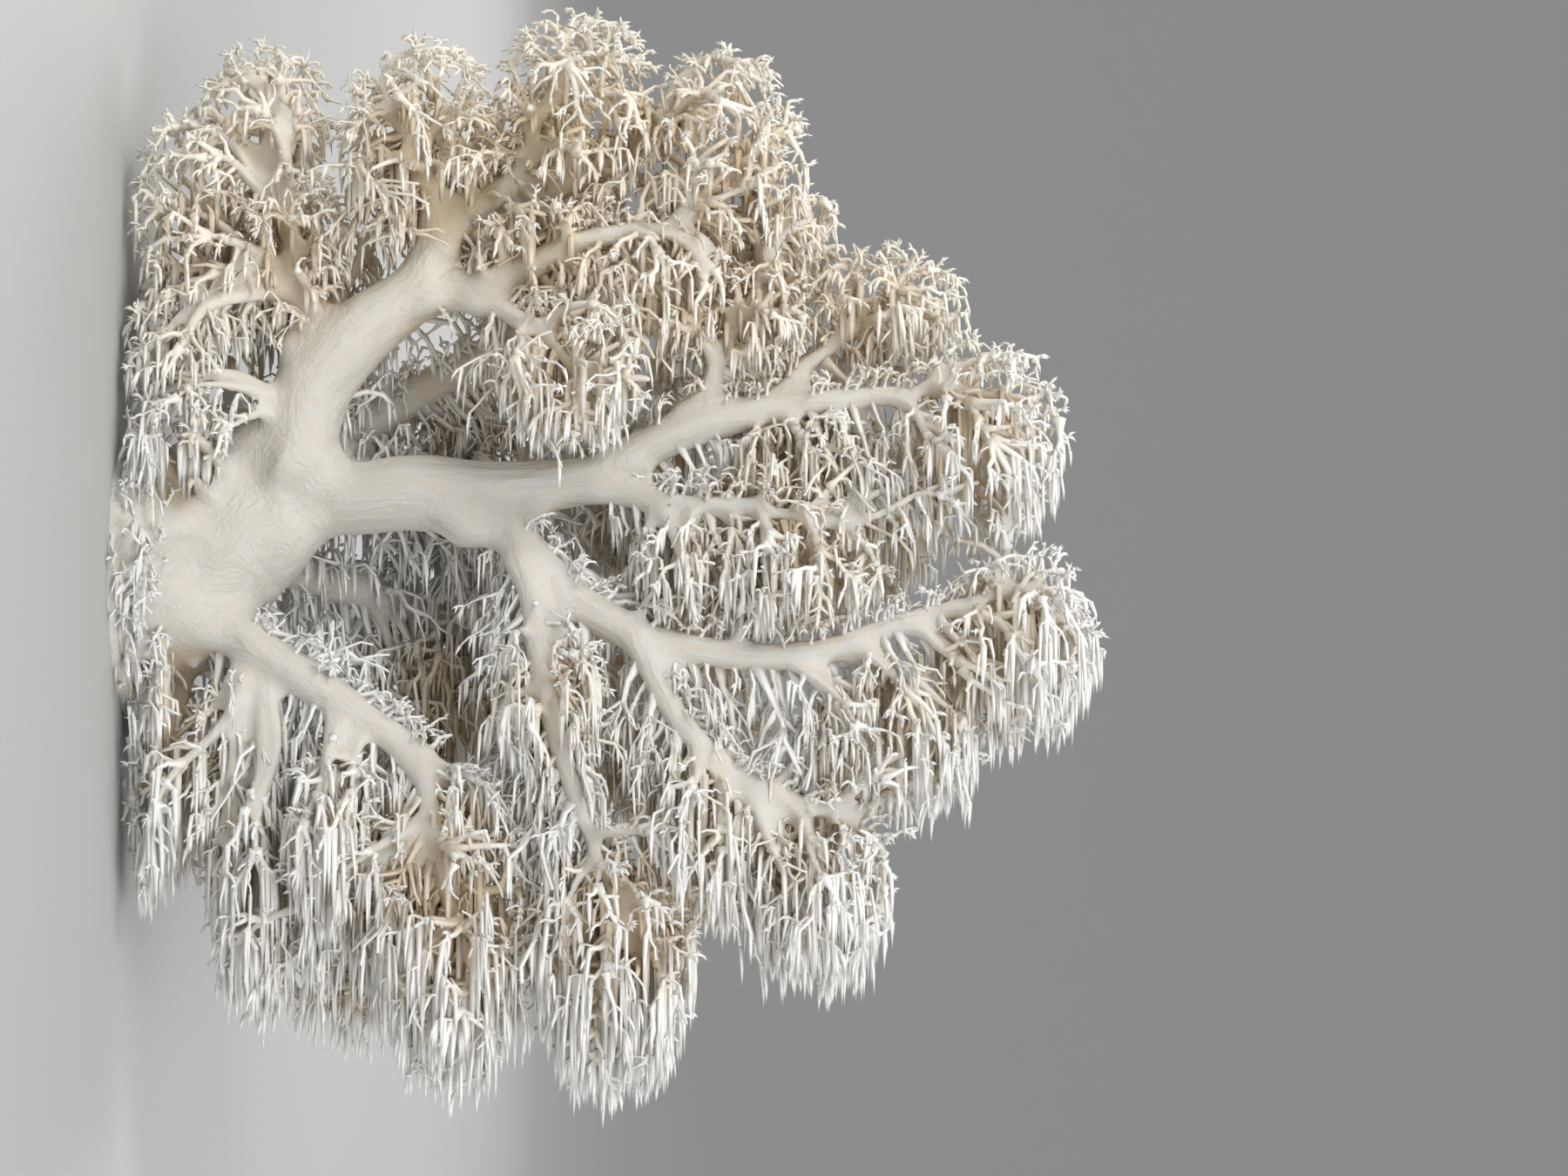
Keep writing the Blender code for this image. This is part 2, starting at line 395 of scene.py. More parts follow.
def vertex_places(mesh: bpy.types.Mesh) -> Array:
    """A mesh's vertices in millimetres, (n, 3)."""
    places = np.empty(len(mesh.vertices) * 3, np.float32)
    mesh.vertices.foreach_get("co", places)
    return places.reshape(-1, 3).astype(float) / MM


def edge_pairs(mesh: bpy.types.Mesh) -> Array:
    """A mesh's edges as pairs of vertex numbers, (n, 2)."""
    pairs = np.empty(len(mesh.edges) * 2, np.int32)
    mesh.edges.foreach_get("vertices", pairs)
    return pairs.reshape(-1, 2)


def vertex_normals(mesh: bpy.types.Mesh) -> Array:
    """A mesh's vertex normals, (n, 3)."""
    normals = np.empty(len(mesh.vertices) * 3, np.float32)
    mesh.vertex_normals.foreach_get("vector", normals)
    return normals.reshape(-1, 3).astype(float)


def move_vertices(mesh: bpy.types.Mesh, places: Array) -> None:
    """Gives a mesh's vertices new places, in millimetres."""
    mesh.vertices.foreach_set("co", (places * MM).astype(np.float32).ravel())
    mesh.update()


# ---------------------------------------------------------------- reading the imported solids


@dataclass
class LimbAxis:
    """The middle line of one limb's solid, from its root to its tip.

    Attributes:
        name: The limb's node.
        points: Places along the line, (k, 3).
        radii: The limb's radius at each, (k,).
    """

    name: str
    points: Array
    radii: Array

    SAMPLES = 25
    ROUNDS = 4
    END_SHARE = 8

    @classmethod
    def of_node(cls, name: str, node: bpy.types.Object) -> LimbAxis:
        """Draws a smooth line through the middle of a tube-shaped solid.

        The line starts as a straight one, from the corners nearest the cut to those farthest from
        it. Then it is improved in rounds: each corner of the solid is given the place along the line
        nearest to it, and the line is redrawn through local averages of the corners, each a weighted
        straight fit, so that the ends don't shrink.

        Args:
            name: The node's name.
            node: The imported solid.

        Returns:
            The axis, with a radius that is the corners' average distance from it.
        """
        cloud = np.unique(vertex_places(node.data).round(3), axis=0)
        order = np.linalg.norm(cloud, axis=1).argsort()
        start, tip = cloud[order[: cls.END_SHARE]].mean(0), cloud[order[-cls.END_SHARE :]].mean(0)
        if cloud[:, 2].min() < 0.5:
            return cls._rooted(name, node, float(tip[2]))
        line = mix(start, tip, np.linspace(0, 1, cls.SAMPLES)[:, None])
        for _ in range(cls.ROUNDS):
            along, gap, total = cls._place_on(cloud, line)
            grid = np.linspace(along.min(), along.max(), cls.SAMPLES)
            width = max(total / 7, gap.mean() * 0.8)
            line = cls._local_fit(along, cloud, grid, width)
        along, gap, _ = cls._place_on(cloud, line)
        grid = np.linspace(0, 1, cls.SAMPLES) * np.linalg.norm(np.diff(line, axis=0), axis=1).sum()
        radii = cls._local_fit(along, gap[:, None], grid, width)[:, 0]
        return cls(name, line, np.maximum(radii, gap.min() * 0.9))

    @classmethod
    def _rooted(cls, name: str, node: bpy.types.Object, top: float) -> LimbAxis:
        """The middle line of the limb that stands on the cut, read from level slices.

        Each slice is where the solid's edges cross a level. Its middle is halfway between its ends,
        and the limb's radius is half its width across, the way the limb doesn't lean.

        Args:
            name: The node's name.
            node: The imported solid.
            top: The height of the highest slice.

        Returns:
            The axis.
        """
        cloud = vertex_places(node.data)
        pairs = edge_pairs(node.data)
        first, last = cloud[pairs[:, 0]], cloud[pairs[:, 1]]
        points, radii = [], []
        for level in np.linspace(0.2, top, cls.SAMPLES):
            crossing = (first[:, 2] - level) * (last[:, 2] - level) < 0
            low, high = first[crossing], last[crossing]
            share = (level - low[:, 2]) / (high[:, 2] - low[:, 2])
            cut = mix(low, high, share[:, None])
            points.append((cut.min(0) + cut.max(0)) / 2)
            radii.append(np.ptp(cut[:, 1]) / 2)
        points[0][2] = 0.0
        return cls(name, np.array(points), np.array(radii))

    @staticmethod
    def _place_on(cloud: Array, line: Array) -> tuple[Array, Array, float]:
        """Each point's place along a line of straight pieces, its distance from it, and the length."""
        start, step = line[:-1], np.diff(line, axis=0)
        lengths = np.linalg.norm(step, axis=1)
        share = np.einsum("nkd,kd->nk", cloud[:, None] - start[None], step) / np.maximum(lengths**2, 1e-9)
        share = np.clip(share, 0, 1)
        gaps = np.linalg.norm(cloud[:, None] - (start + share[..., None] * step), axis=2)
        best = gaps.argmin(1)
        rows = np.arange(len(cloud))
        before = np.concatenate([[0], np.cumsum(lengths)])[best]
        return before + share[rows, best] * lengths[best], gaps[rows, best], float(lengths.sum())

    @staticmethod
    def _local_fit(along: Array, values: Array, grid: Array, width: float) -> Array:
        """Weighted straight fits of values against place, read at each grid place."""
        offset = along[None] - grid[:, None]
        weight = np.exp(-((offset / width) ** 2)) + 1e-9
        total = weight.sum(1)
        mean_offset = (weight * offset).sum(1) / total
        mean_value = weight @ values / total[:, None]
        spread = (weight * (offset - mean_offset[:, None]) ** 2).sum(1)
        slope = np.einsum("gn,gn,nd->gd", weight, offset - mean_offset[:, None], values)
        slope = slope / np.maximum(spread, 1e-6)[:, None]
        return mean_value - slope * mean_offset[:, None]

    @property
    def strand(self) -> Strands:
        """The limb as a single strand."""
        return Strands(self.points[None], self.radii[None], sides=20)


@dataclass
class Envelope:
    """A tuft's own solid, as the planes of its hull.

    Attributes:
        name: The tuft's node.
        normals: The planes' outward directions, (p, 3).
        offsets: The planes' distances from the frame's origin, (p,).
        low: The solid's lowest corner.
        high: Its highest corner.
    """

    name: str
    normals: Array
    offsets: Array
    low: Array
    high: Array

    @classmethod
    def of_node(cls, name: str, node: bpy.types.Object) -> Envelope:
        """Reads a tuft's solid.

        Args:
            name: The node's name.
            node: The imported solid.

        Returns:
            The hull's planes and the solid's box.
        """
        shape = bmesh.new()
        shape.from_mesh(node.data)
        bmesh.ops.remove_doubles(shape, verts=shape.verts, dist=1e-5)
        hull = bmesh.ops.convex_hull(shape, input=shape.verts)
        faces = [item for item in hull["geom"] if isinstance(item, bmesh.types.BMFace)]
        centre = sum((vert.co for vert in shape.verts), Vector()) / len(shape.verts)
        normals, offsets = [], []
        for face in faces:
            if face.calc_area() < 1e-9:
                continue
            normal = face.normal.copy()
            if normal.dot(face.calc_center_median() - centre) < 0:
                normal.negate()
            normals.append(tuple(normal))
            offsets.append(normal.dot(face.verts[0].co) / MM)
        shape.free()
        low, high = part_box(name)
        return cls(name, np.array(normals), np.array(offsets), np.array(low) / MM, np.array(high) / MM)

    @property
    def centre(self) -> Array:
        """The middle of the box."""
        return (self.low + self.high) / 2

    @property
    def half(self) -> Array:
        """Half the box's size."""
        return (self.high - self.low) / 2

    def depth(self, points: Array) -> Array:
        """How far each point is inside the nearest plane, negative outside."""
        return (self.offsets - points @ self.normals.T).min(-1)

    def outward(self, points: Array) -> Array:
        """The outward direction for each point, blended over the planes near it."""
        gaps = self.offsets - points @ self.normals.T
        weight = np.exp(-(gaps - gaps.min(-1, keepdims=True)) / 2.5)
        return unit(weight @ self.normals)

    def room_below(self, points: Array) -> Array:
        """How far each point could hang before it leaves the solid."""
        slope = self.normals @ DOWN
        gaps = self.offsets - points @ self.normals.T
        reach = np.where(slope > 1e-3, gaps / np.maximum(slope, 1e-3), np.inf)
        return reach.min(-1)

    def fill(self, count: int, random: np.random.Generator, deepest: float, shallowest: float,
             roof: float = 0.0, front: bool = False, pool: int = 9000) -> Array:
        """Points inside the solid, spread out evenly.

        Args:
            count: How many points.
            random: The source of random numbers.
            deepest: The greatest depth wanted.
            shallowest: The least depth wanted.
            roof: The least room to hang that a point must have below it.
            front: Whether only the half that faces the main camera is filled, away from its sides.
            pool: How many random points to choose from.

        Returns:
            The points, (count or fewer, 3).
        """
        places = random.uniform(self.low, self.high, (pool, 3))
        depth = self.depth(places)
        inside = (depth > shallowest) & (depth < deepest) & (self.room_below(places) > roof)
        if front:
            offset = (places - self.centre) / self.half
            inside &= offset[:, 1] < -0.35 * (1 - (offset[:, ::2] ** 2).sum(1))
        return spread_out(places[inside][: max(count * 12, 400)], count, random)


# ---------------------------------------------------------------- growth


def hermite(start: Array, leave: Array, end: Array, arrive: Array, count: int) -> Array:
    """Cubic curves with given ends and end slopes.

    The formula is the Hermite one: the start times 2t cubed - 3t squared + 1, plus the leaving slope
    times t cubed - 2t squared + t, plus the end and the arriving slope with their own two weights.

    Args:
        start: First points, (n, 3).
        leave: Slopes at the start, (n, 3).
        end: Last points, (n, 3).
        arrive: Slopes at the end, (n, 3).
        count: Points along each curve.

    Returns:
        The curves' points, (n, count, 3).
    """
    t = np.linspace(0, 1, count)[None, :, None]
    first = 2 * t**3 - 3 * t**2 + 1
    second = t**3 - 2 * t**2 + t
    last = t**3 - t**2
    from_start = start[:, None] * first + leave[:, None] * second
    return from_start + end[:, None] * (1 - first) + arrive[:, None] * last


def tapered(root: Array, tip: Array, count: int, flare: float = 0.6) -> Array:
    """Radii that fall evenly from root to tip, widened at the root where a twig joins its parent.

    Args:
        root: Radius near the root, (n,).
        tip: Radius at the tip, (n,).
        count: Points along each strand.
        flare: How much wider the very root is; the extra dies away as exp(-s / 0.08).

    Returns:
        The radii, (n, count).
    """
    s = np.linspace(0, 1, count)[None]
    return mix(root[:, None], tip[:, None], s) * (1 + flare * np.exp(-s / 0.08))


@dataclass(frozen=True)
class Order:
    """How one order of branching grows.

    Attributes:
        root: Radius at the root.
        tip: Radius at the tip.
        droop: How strongly the end turns down.
        lift: How strongly the start turns up.
        follow: How far the start keeps to its parent's direction.
        steps: Points along each strand.
        sides: Sides of the tube.
        wander: Sideways wander, as a share of the length.
        flare: How much wider the very root is.
    """

    root: float
    tip: float
    droop: float
    lift: float
    follow: float
    steps: int
    sides: int
    wander: float = 0.05
    flare: float = 0.6

    def reach(self, parents: Strands, targets: Array, random: np.random.Generator,
              first: float = 0.15, samples: int = 9) -> Strands:
        """Grows one strand to each target from the best place on the parents.

        The best place has the least distance to the target, counted dearer when the strand would
        have to turn sharply off its parent or climb.

        Args:
            parents: The strands to grow from.
            targets: The places to reach, (n, 3).
            random: The source of random numbers.
            first: The first place along a parent that may bear a strand, from 0 to 1.
            samples: How many places are tried along each parent.

        Returns:
            The new strands.
        """
        places = np.tile(np.linspace(first, 0.98, samples), len(parents))
        rows = np.repeat(np.arange(len(parents)), samples)
        spots, ahead, widths = parents.at(rows, places)
        step = targets[:, None] - spots[None]
        gap = np.linalg.norm(step, axis=2)
        turn = (step * ahead[None]).sum(2) / np.maximum(gap, 1e-6)
        climb = np.maximum(-step @ DOWN, 0)
        best = (gap * (2.1 - 1.1 * turn) + 0.35 * climb).argmin(1)
        return self.path(spots[best], ahead[best], widths[best], targets, random)

    def path(self, start: Array, ahead: Array, widths: Array, targets: Array,
             random: np.random.Generator) -> Strands:
        """Curved strands from given starts to given targets.

        Args:
            start: Where each strand starts, (n, 3).
            ahead: The parent's direction there, (n, 3).
            widths: The parent's radius there, (n,).
            targets: Where each strand ends, (n, 3).
            random: The source of random numbers.

        Returns:
            The strands.
        """
        step = targets - start
        length = np.linalg.norm(step, axis=1, keepdims=True)
        heading = step / np.maximum(length, 1e-6)
        leave = unit(heading * (1 - self.follow) + ahead * self.follow - DOWN * self.lift)
        arrive = unit(heading + DOWN * self.droop)
        points = hermite(start, leave * length * 1.05, targets, arrive * length * 0.95, self.steps)
        t = np.linspace(0, 1, self.steps)[None, :, None]
        phase = random.uniform(0, 2 * math.pi, (len(start), 1, 3))
        wave = np.sin(t * (7 + 3 * random.random((len(start), 1, 1))) + phase) - np.sin(phase)
        points = points + wave * (length * self.wander)[:, None] * np.sin(t * math.pi * 0.5)
        size = np.clip(length[:, 0] / 14, 0.72, 1.15) * random.uniform(0.85, 1.15, len(start))
        root = np.minimum(self.root * size, widths * 0.85)
        tip = np.minimum(self.tip * size, root * 0.9)
        return Strands(points, tapered(root, tip, self.steps, self.flare), self.sides)


LEADER = Order(root=1.75, tip=0.9, droop=0.9, lift=0.1, follow=0.6, steps=10, sides=8, wander=0.03,
               flare=0.35)
BRANCHLET = Order(root=1.1, tip=0.6, droop=0.7, lift=0.1, follow=0.4, steps=5, sides=5, wander=0.05,
                  flare=0.9)
TWIG = Order(root=0.64, tip=0.42, droop=0.9, lift=0.2, follow=0.25, steps=4, sides=3, wander=0.05, flare=0.9)
SPRIG = Order(root=1.0, tip=0.55, droop=0.9, lift=0.1, follow=0.4, steps=5, sides=3, wander=0.05, flare=0.6)
INNER = Order(root=1.25, tip=0.8, droop=0.8, lift=0.1, follow=0.2, steps=3, sides=3, wander=0.05)


def spine_length(places: Array) -> Array:
    """The usual length of a spine at each place: short on the crown, long on the lowest tufts."""
    return np.interp(places[:, 0], (-115, -60, -20, 20, 80), (6.0, 9.5, 14.5, 17.0, 22.0))


def hanging_spines(parents: Strands, count: int, room_below: Callable[[Array], Array],
                   random: np.random.Generator, first: float = 0.25, ends: float = 0.35,
                   sides: int = 4) -> Strands:
    """Long straight spines that hang from the undersides and the ends of twigs.

    Each one leaves its twig with a small kick to the side, (1 - (1 - t) squared) of it by place t,
    and hangs straight down for the rest. Where the tuft's bottom is in reach the spine stops there,
    which lines the long ones up. Higher in the tuft the spines are short and of all lengths.

    Args:
        parents: The twigs to hang from.
        count: How many spines.
        room_below: Gives the room to hang below each place.
        random: The source of random numbers.
        first: The first place along a twig that may bear a spine.
        ends: The share of the spines that carry on from a twig's end.
        sides: The sides of each spine.

    Returns:
        The spines.
    """
    weight = parents.lengths
    rows = random.choice(len(parents), count, p=weight / weight.sum())
    ending = random.random(count) < ends
    places = np.where(ending, 0.97, random.uniform(first, 1.0, count))
    start, ahead, widths = parents.at(rows, places)
    start = start + DOWN * (widths * np.where(ending, 0.0, 0.3))[:, None]
    room = room_below(start)
    usual = spine_length(start)
    long = (room < usual * 1.15) & (random.random(count) < 0.8)
    reaching = room * random.uniform(0.6, 1.02, count) + random.normal(1.0, 1.5, count)
    short = np.minimum(usual * random.uniform(0.15, 0.42, count), room)
    length = np.where(long, np.minimum(reaching, usual * 1.25), short)
    good = length > 1.8
    start, ahead, widths, length, ending = (part[good] for part in (start, ahead, widths, length, ending))
    t = np.array((0, 0.55, 1.0))[None, :, None]
    kick = scatter(random, len(start)) * random.uniform(0.1, 0.8, (len(start), 1))
    kick = kick + ahead * np.where(ending, 1.5, 0.5)[:, None]
    kick = kick - (kick @ DOWN)[:, None] * DOWN
    points = start[:, None] + kick[:, None] * (1 - (1 - t) ** 2) + DOWN * (t * length[:, None, None])
    root = (0.42 + 0.015 * length) * random.uniform(0.85, 1.2, len(start))
    root = np.minimum(root, widths * 1.3)
    shape = np.array((1.2, 0.8, 0.3))
    return Strands(points, root[:, None] * shape, sides, tip_from=0.3, pointed=True)


def hooks(start: Array, outward: Array, length: Array, random: np.random.Generator,
          radius: float = 0.42) -> Strands:
    """Short blunt twigs that arch outward and curl over.

    Args:
        start: Where each starts, (n, 3).
        outward: The direction it leaves in, (n, 3).
        length: Its length, (n,).
        random: The source of random numbers.
        radius: Its radius at the root.

    Returns:
        The hooks.
    """
    count = len(start)
    sway = scatter(random, count) * 0.55
    leave = unit(outward + sway * 0.8 - DOWN * 0.35)
    arrive = unit(outward * 0.55 + sway * 0.8 + DOWN * random.uniform(-0.2, 1.3, (count, 1)))
    span = length[:, None]
    end = start + unit(leave + arrive) * span * 0.85
    points = hermite(start, leave * span * 1.1, end, arrive * span * 1.1, 4)
    root = radius * random.uniform(0.85, 1.2, count)
    return Strands(points, tapered(root, root * 0.78, 4, flare=0.5), 3, tip_from=0.4, pointed=True)


def tines(parents: Strands, count: int, random: np.random.Generator) -> Strands:
    """The side points of antler-like hooks.

    Args:
        parents: The hooks.
        count: How many points.
        random: The source of random numbers.

    Returns:
        The side points.
    """
    rows = random.integers(0, len(parents), count)
    start, ahead, widths = parents.at(rows, random.uniform(0.3, 0.85, count))
    aside = scatter(random, count)
    aside = unit(aside - (aside * ahead).sum(1, keepdims=True) * ahead)
    length = random.uniform(1.1, 2.6, count)[:, None]
    leave = unit(aside + ahead * 0.5)
    end = start + unit(aside * 0.8 + ahead * 0.8 + DOWN * 0.25) * length
    points = hermite(start, leave * length, end, unit(ahead + aside * 0.3 + DOWN * 0.3) * length, 3)
    root = widths * 0.95
    return Strands(points, tapered(root, root * 0.75, 3, flare=0.3), 3, tip_from=0.4, pointed=True)


@dataclass
class Clearance:
    """Keeps the bare fronts of the thick limbs open to view.

    Attributes:
        spots: Places along the front limbs, (n, 3).
        widths: Their radii, (n,).
        reach: How far in front of a limb's skin it is kept open.
        foot: The height above the cut below which nothing is kept open.
    """

    spots: Array
    widths: Array
    reach: float = 17.0
    foot: float = 12.0

    @classmethod
    def of_limbs(cls, axes: list[LimbAxis], thinnest: float = 1.7) -> Clearance:
        """Gathers the places where the limbs are thick enough to stay bare."""
        strands = [axis.strand for axis in axes if not axis.name.startswith("back")]
        reads = [one.at(np.zeros(70, int), np.linspace(0, 1, 70)) for one in strands]
        spots = np.concatenate([read[0] for read in reads])
        widths = np.concatenate([read[2] for read in reads])
        kept = widths > thinnest
        return cls(spots[kept], widths[kept])

    @classmethod
    def of_leaders(cls, leaders: Strands, until: float = 0.85) -> Clearance:
        """Gathers the places along a tuft's leaders that should show."""
        rows = np.repeat(np.arange(len(leaders)), 14)
        spots, _, widths = leaders.at(rows, np.tile(np.linspace(0, until, 14), len(leaders)))
        return cls(spots, widths * 1.5, reach=8.0)

    @classmethod
    def of_branchlets(cls, branchlets: Strands, until: float = 0.75) -> Clearance:
        """Gathers the places along the front branchlets that should show."""
        rows = np.repeat(np.arange(len(branchlets)), 9)
        spots, _, widths = branchlets.at(rows, np.tile(np.linspace(0, until, 9), len(branchlets)))
        return cls(spots, widths * 1.3, reach=3.5)

    def covers(self, points: Array) -> Array:
        """Which points lie close in front of a bare limb.

        Args:
            points: Places, (n, 3).

        Returns:
            True where a point is in front of a limb's axis, within its outline and not far off it.
        """
        blocked = np.zeros(len(points), bool)
        for start in range(0, len(points), 3000):
            part = points[start : start + 3000]
            across = part[:, None, ::2] - self.spots[None, :, ::2]
            inside = (across**2).sum(2) < self.bare**2
            ahead = self.spots[None, :, 1] - part[:, None, 1]
            near = (ahead > -self.widths * 0.25) & (ahead < self.widths + self.reach)
            blocked[start : start + 3000] = (inside & near).any(1) & (part[:, 2] > self.foot)
        return blocked

    @property
    def bare(self) -> Array:
        """The half width kept open: nearly all of a thick limb's, two thirds of a thin one's."""
        return self.widths * mix(0.66, 0.92, smoothstep(2.5, 6.0, self.widths))

    def thin(self, strands: Strands, random: np.random.Generator, spared: float = 0.1,
             places: tuple[float, ...] = (0.35, 0.7, 1.0)) -> Strands:
        """Drops most of the strands that would cover a bare limb.

        Args:
            strands: The strands.
            random: The source of random numbers.
            spared: The share of covering strands that are kept.
            places: The places along a strand that are tried.

        Returns:
            The strands that are kept.
        """
        return strands.keep(self.open_rows(strands, random, spared, places)) if len(strands) else strands

    def open_rows(self, strands: Strands, random: np.random.Generator, spared: float = 0.1,
                  places: tuple[float, ...] = (0.35, 0.7, 1.0)) -> Array:
        """Which strands may stay: those that cover no bare limb, and a few that do."""
        rows = np.arange(len(strands))
        blocked = np.zeros(len(strands), bool)
        for place in places:
            blocked |= self.covers(strands.at(rows, np.full(len(strands), place))[0])
        return ~blocked | (random.random(len(strands)) < spared)


@dataclass
class Enclosure:
    """How closed in a place is: the share of directions in which a tuft stands in the way. It is the mask for
    the shade painted into recesses.

    Attributes:
        centres: The tufts' middles, (m, 3).
        halves: Half their sizes, (m, 3).
    """

    centres: Array
    halves: Array

    @classmethod
    def of_tufts(cls, envelopes: list[Envelope]) -> Enclosure:
        """Each tuft is taken as an ellipsoid a little smaller than its solid."""
        centres = np.array([one.centre for one in envelopes])
        halves = np.array([one.half for one in envelopes]) * 0.86
        return cls(centres, halves)

    def share(self, points: Array, facing: Array | None = None, start: float = 2.0) -> Array:
        """The share of 18 directions, fewer below, that are blocked by an ellipsoid.

        A ray from p along d meets an ellipsoid when, in its unit sphere's own measure, the squared
        distance of the sphere's middle from the ray is under 1 and ahead of p. The blocked length is
        the chord's, so a thin corner of a tuft counts for less.

        Args:
            points: Places, (n, 3).
            facing: The way each place faces, (n, 3), or None if it faces all ways.
            start: How far from the point a ray begins.

        Returns:
            The closed-in share, from 0 to 1, (n,).
        """
        index = np.arange(18) + 0.5
        rise = 1 - 2 * index / 18
        turn = index * 2.399963
        flat = np.sqrt(1 - rise**2)
        ways = np.stack([flat * np.cos(turn), rise, flat * np.sin(turn)], 1)
        total, weights = np.zeros(len(points)), np.zeros(len(points))
        for way in ways:
            chord = np.zeros(len(points))
            along = way / self.halves
            squares = (along**2).sum(1)
            for low in range(0, len(points), 20000):
                part = points[low : low + 20000] + way * start
                offset = (part[:, None] - self.centres[None]) / self.halves[None]
                middle = -(offset * along[None]).sum(2) / squares
                nearest = (offset**2).sum(2) - middle**2 * squares
                half = np.sqrt(np.maximum(1 - nearest, 0) / squares)
                blocked = np.maximum(middle + half, 0) - np.maximum(middle - half, 0)
                chord[low : low + 20000] = blocked.sum(1)
            weight = np.ones(len(points)) if facing is None else np.maximum(facing @ way, 0)
            total += (1 - np.exp(-chord / 11.0)) * weight
            weights += weight
        return total / weights


@dataclass(frozen=True)
class Growth:
    """How many of each strand a tuft bears.

    Attributes:
        leaders: Leaders that carry on from the limb.
        branchlets: Branchlets on the leaders.
        twigs: Twigs on the branchlets.
        inner: Plain thick twigs in the tuft's middle.
        spines: Hanging spines.
        hooks: Curled twigs on the upper and outer sides.
    """

    leaders: int
    branchlets: int
    twigs: int
    inner: int
    spines: int
    hooks: int

    @classmethod
    def within(cls, triangles: float, size: float) -> Growth:
        """Shares out a tuft's triangles.

        Args:
            triangles: The most triangles the tuft may have.
            size: The tuft's mean half size in millimetres.

        Returns:
            The counts.
        """
        return cls(leaders=int(np.clip(round(size / 2.1), 5, 11)),
                   branchlets=int(triangles * 0.0036), twigs=int(triangles * 0.0185),
                   inner=int(triangles * 0.0044), spines=int(triangles * 0.0300),
                   hooks=int(triangles * 0.0080))


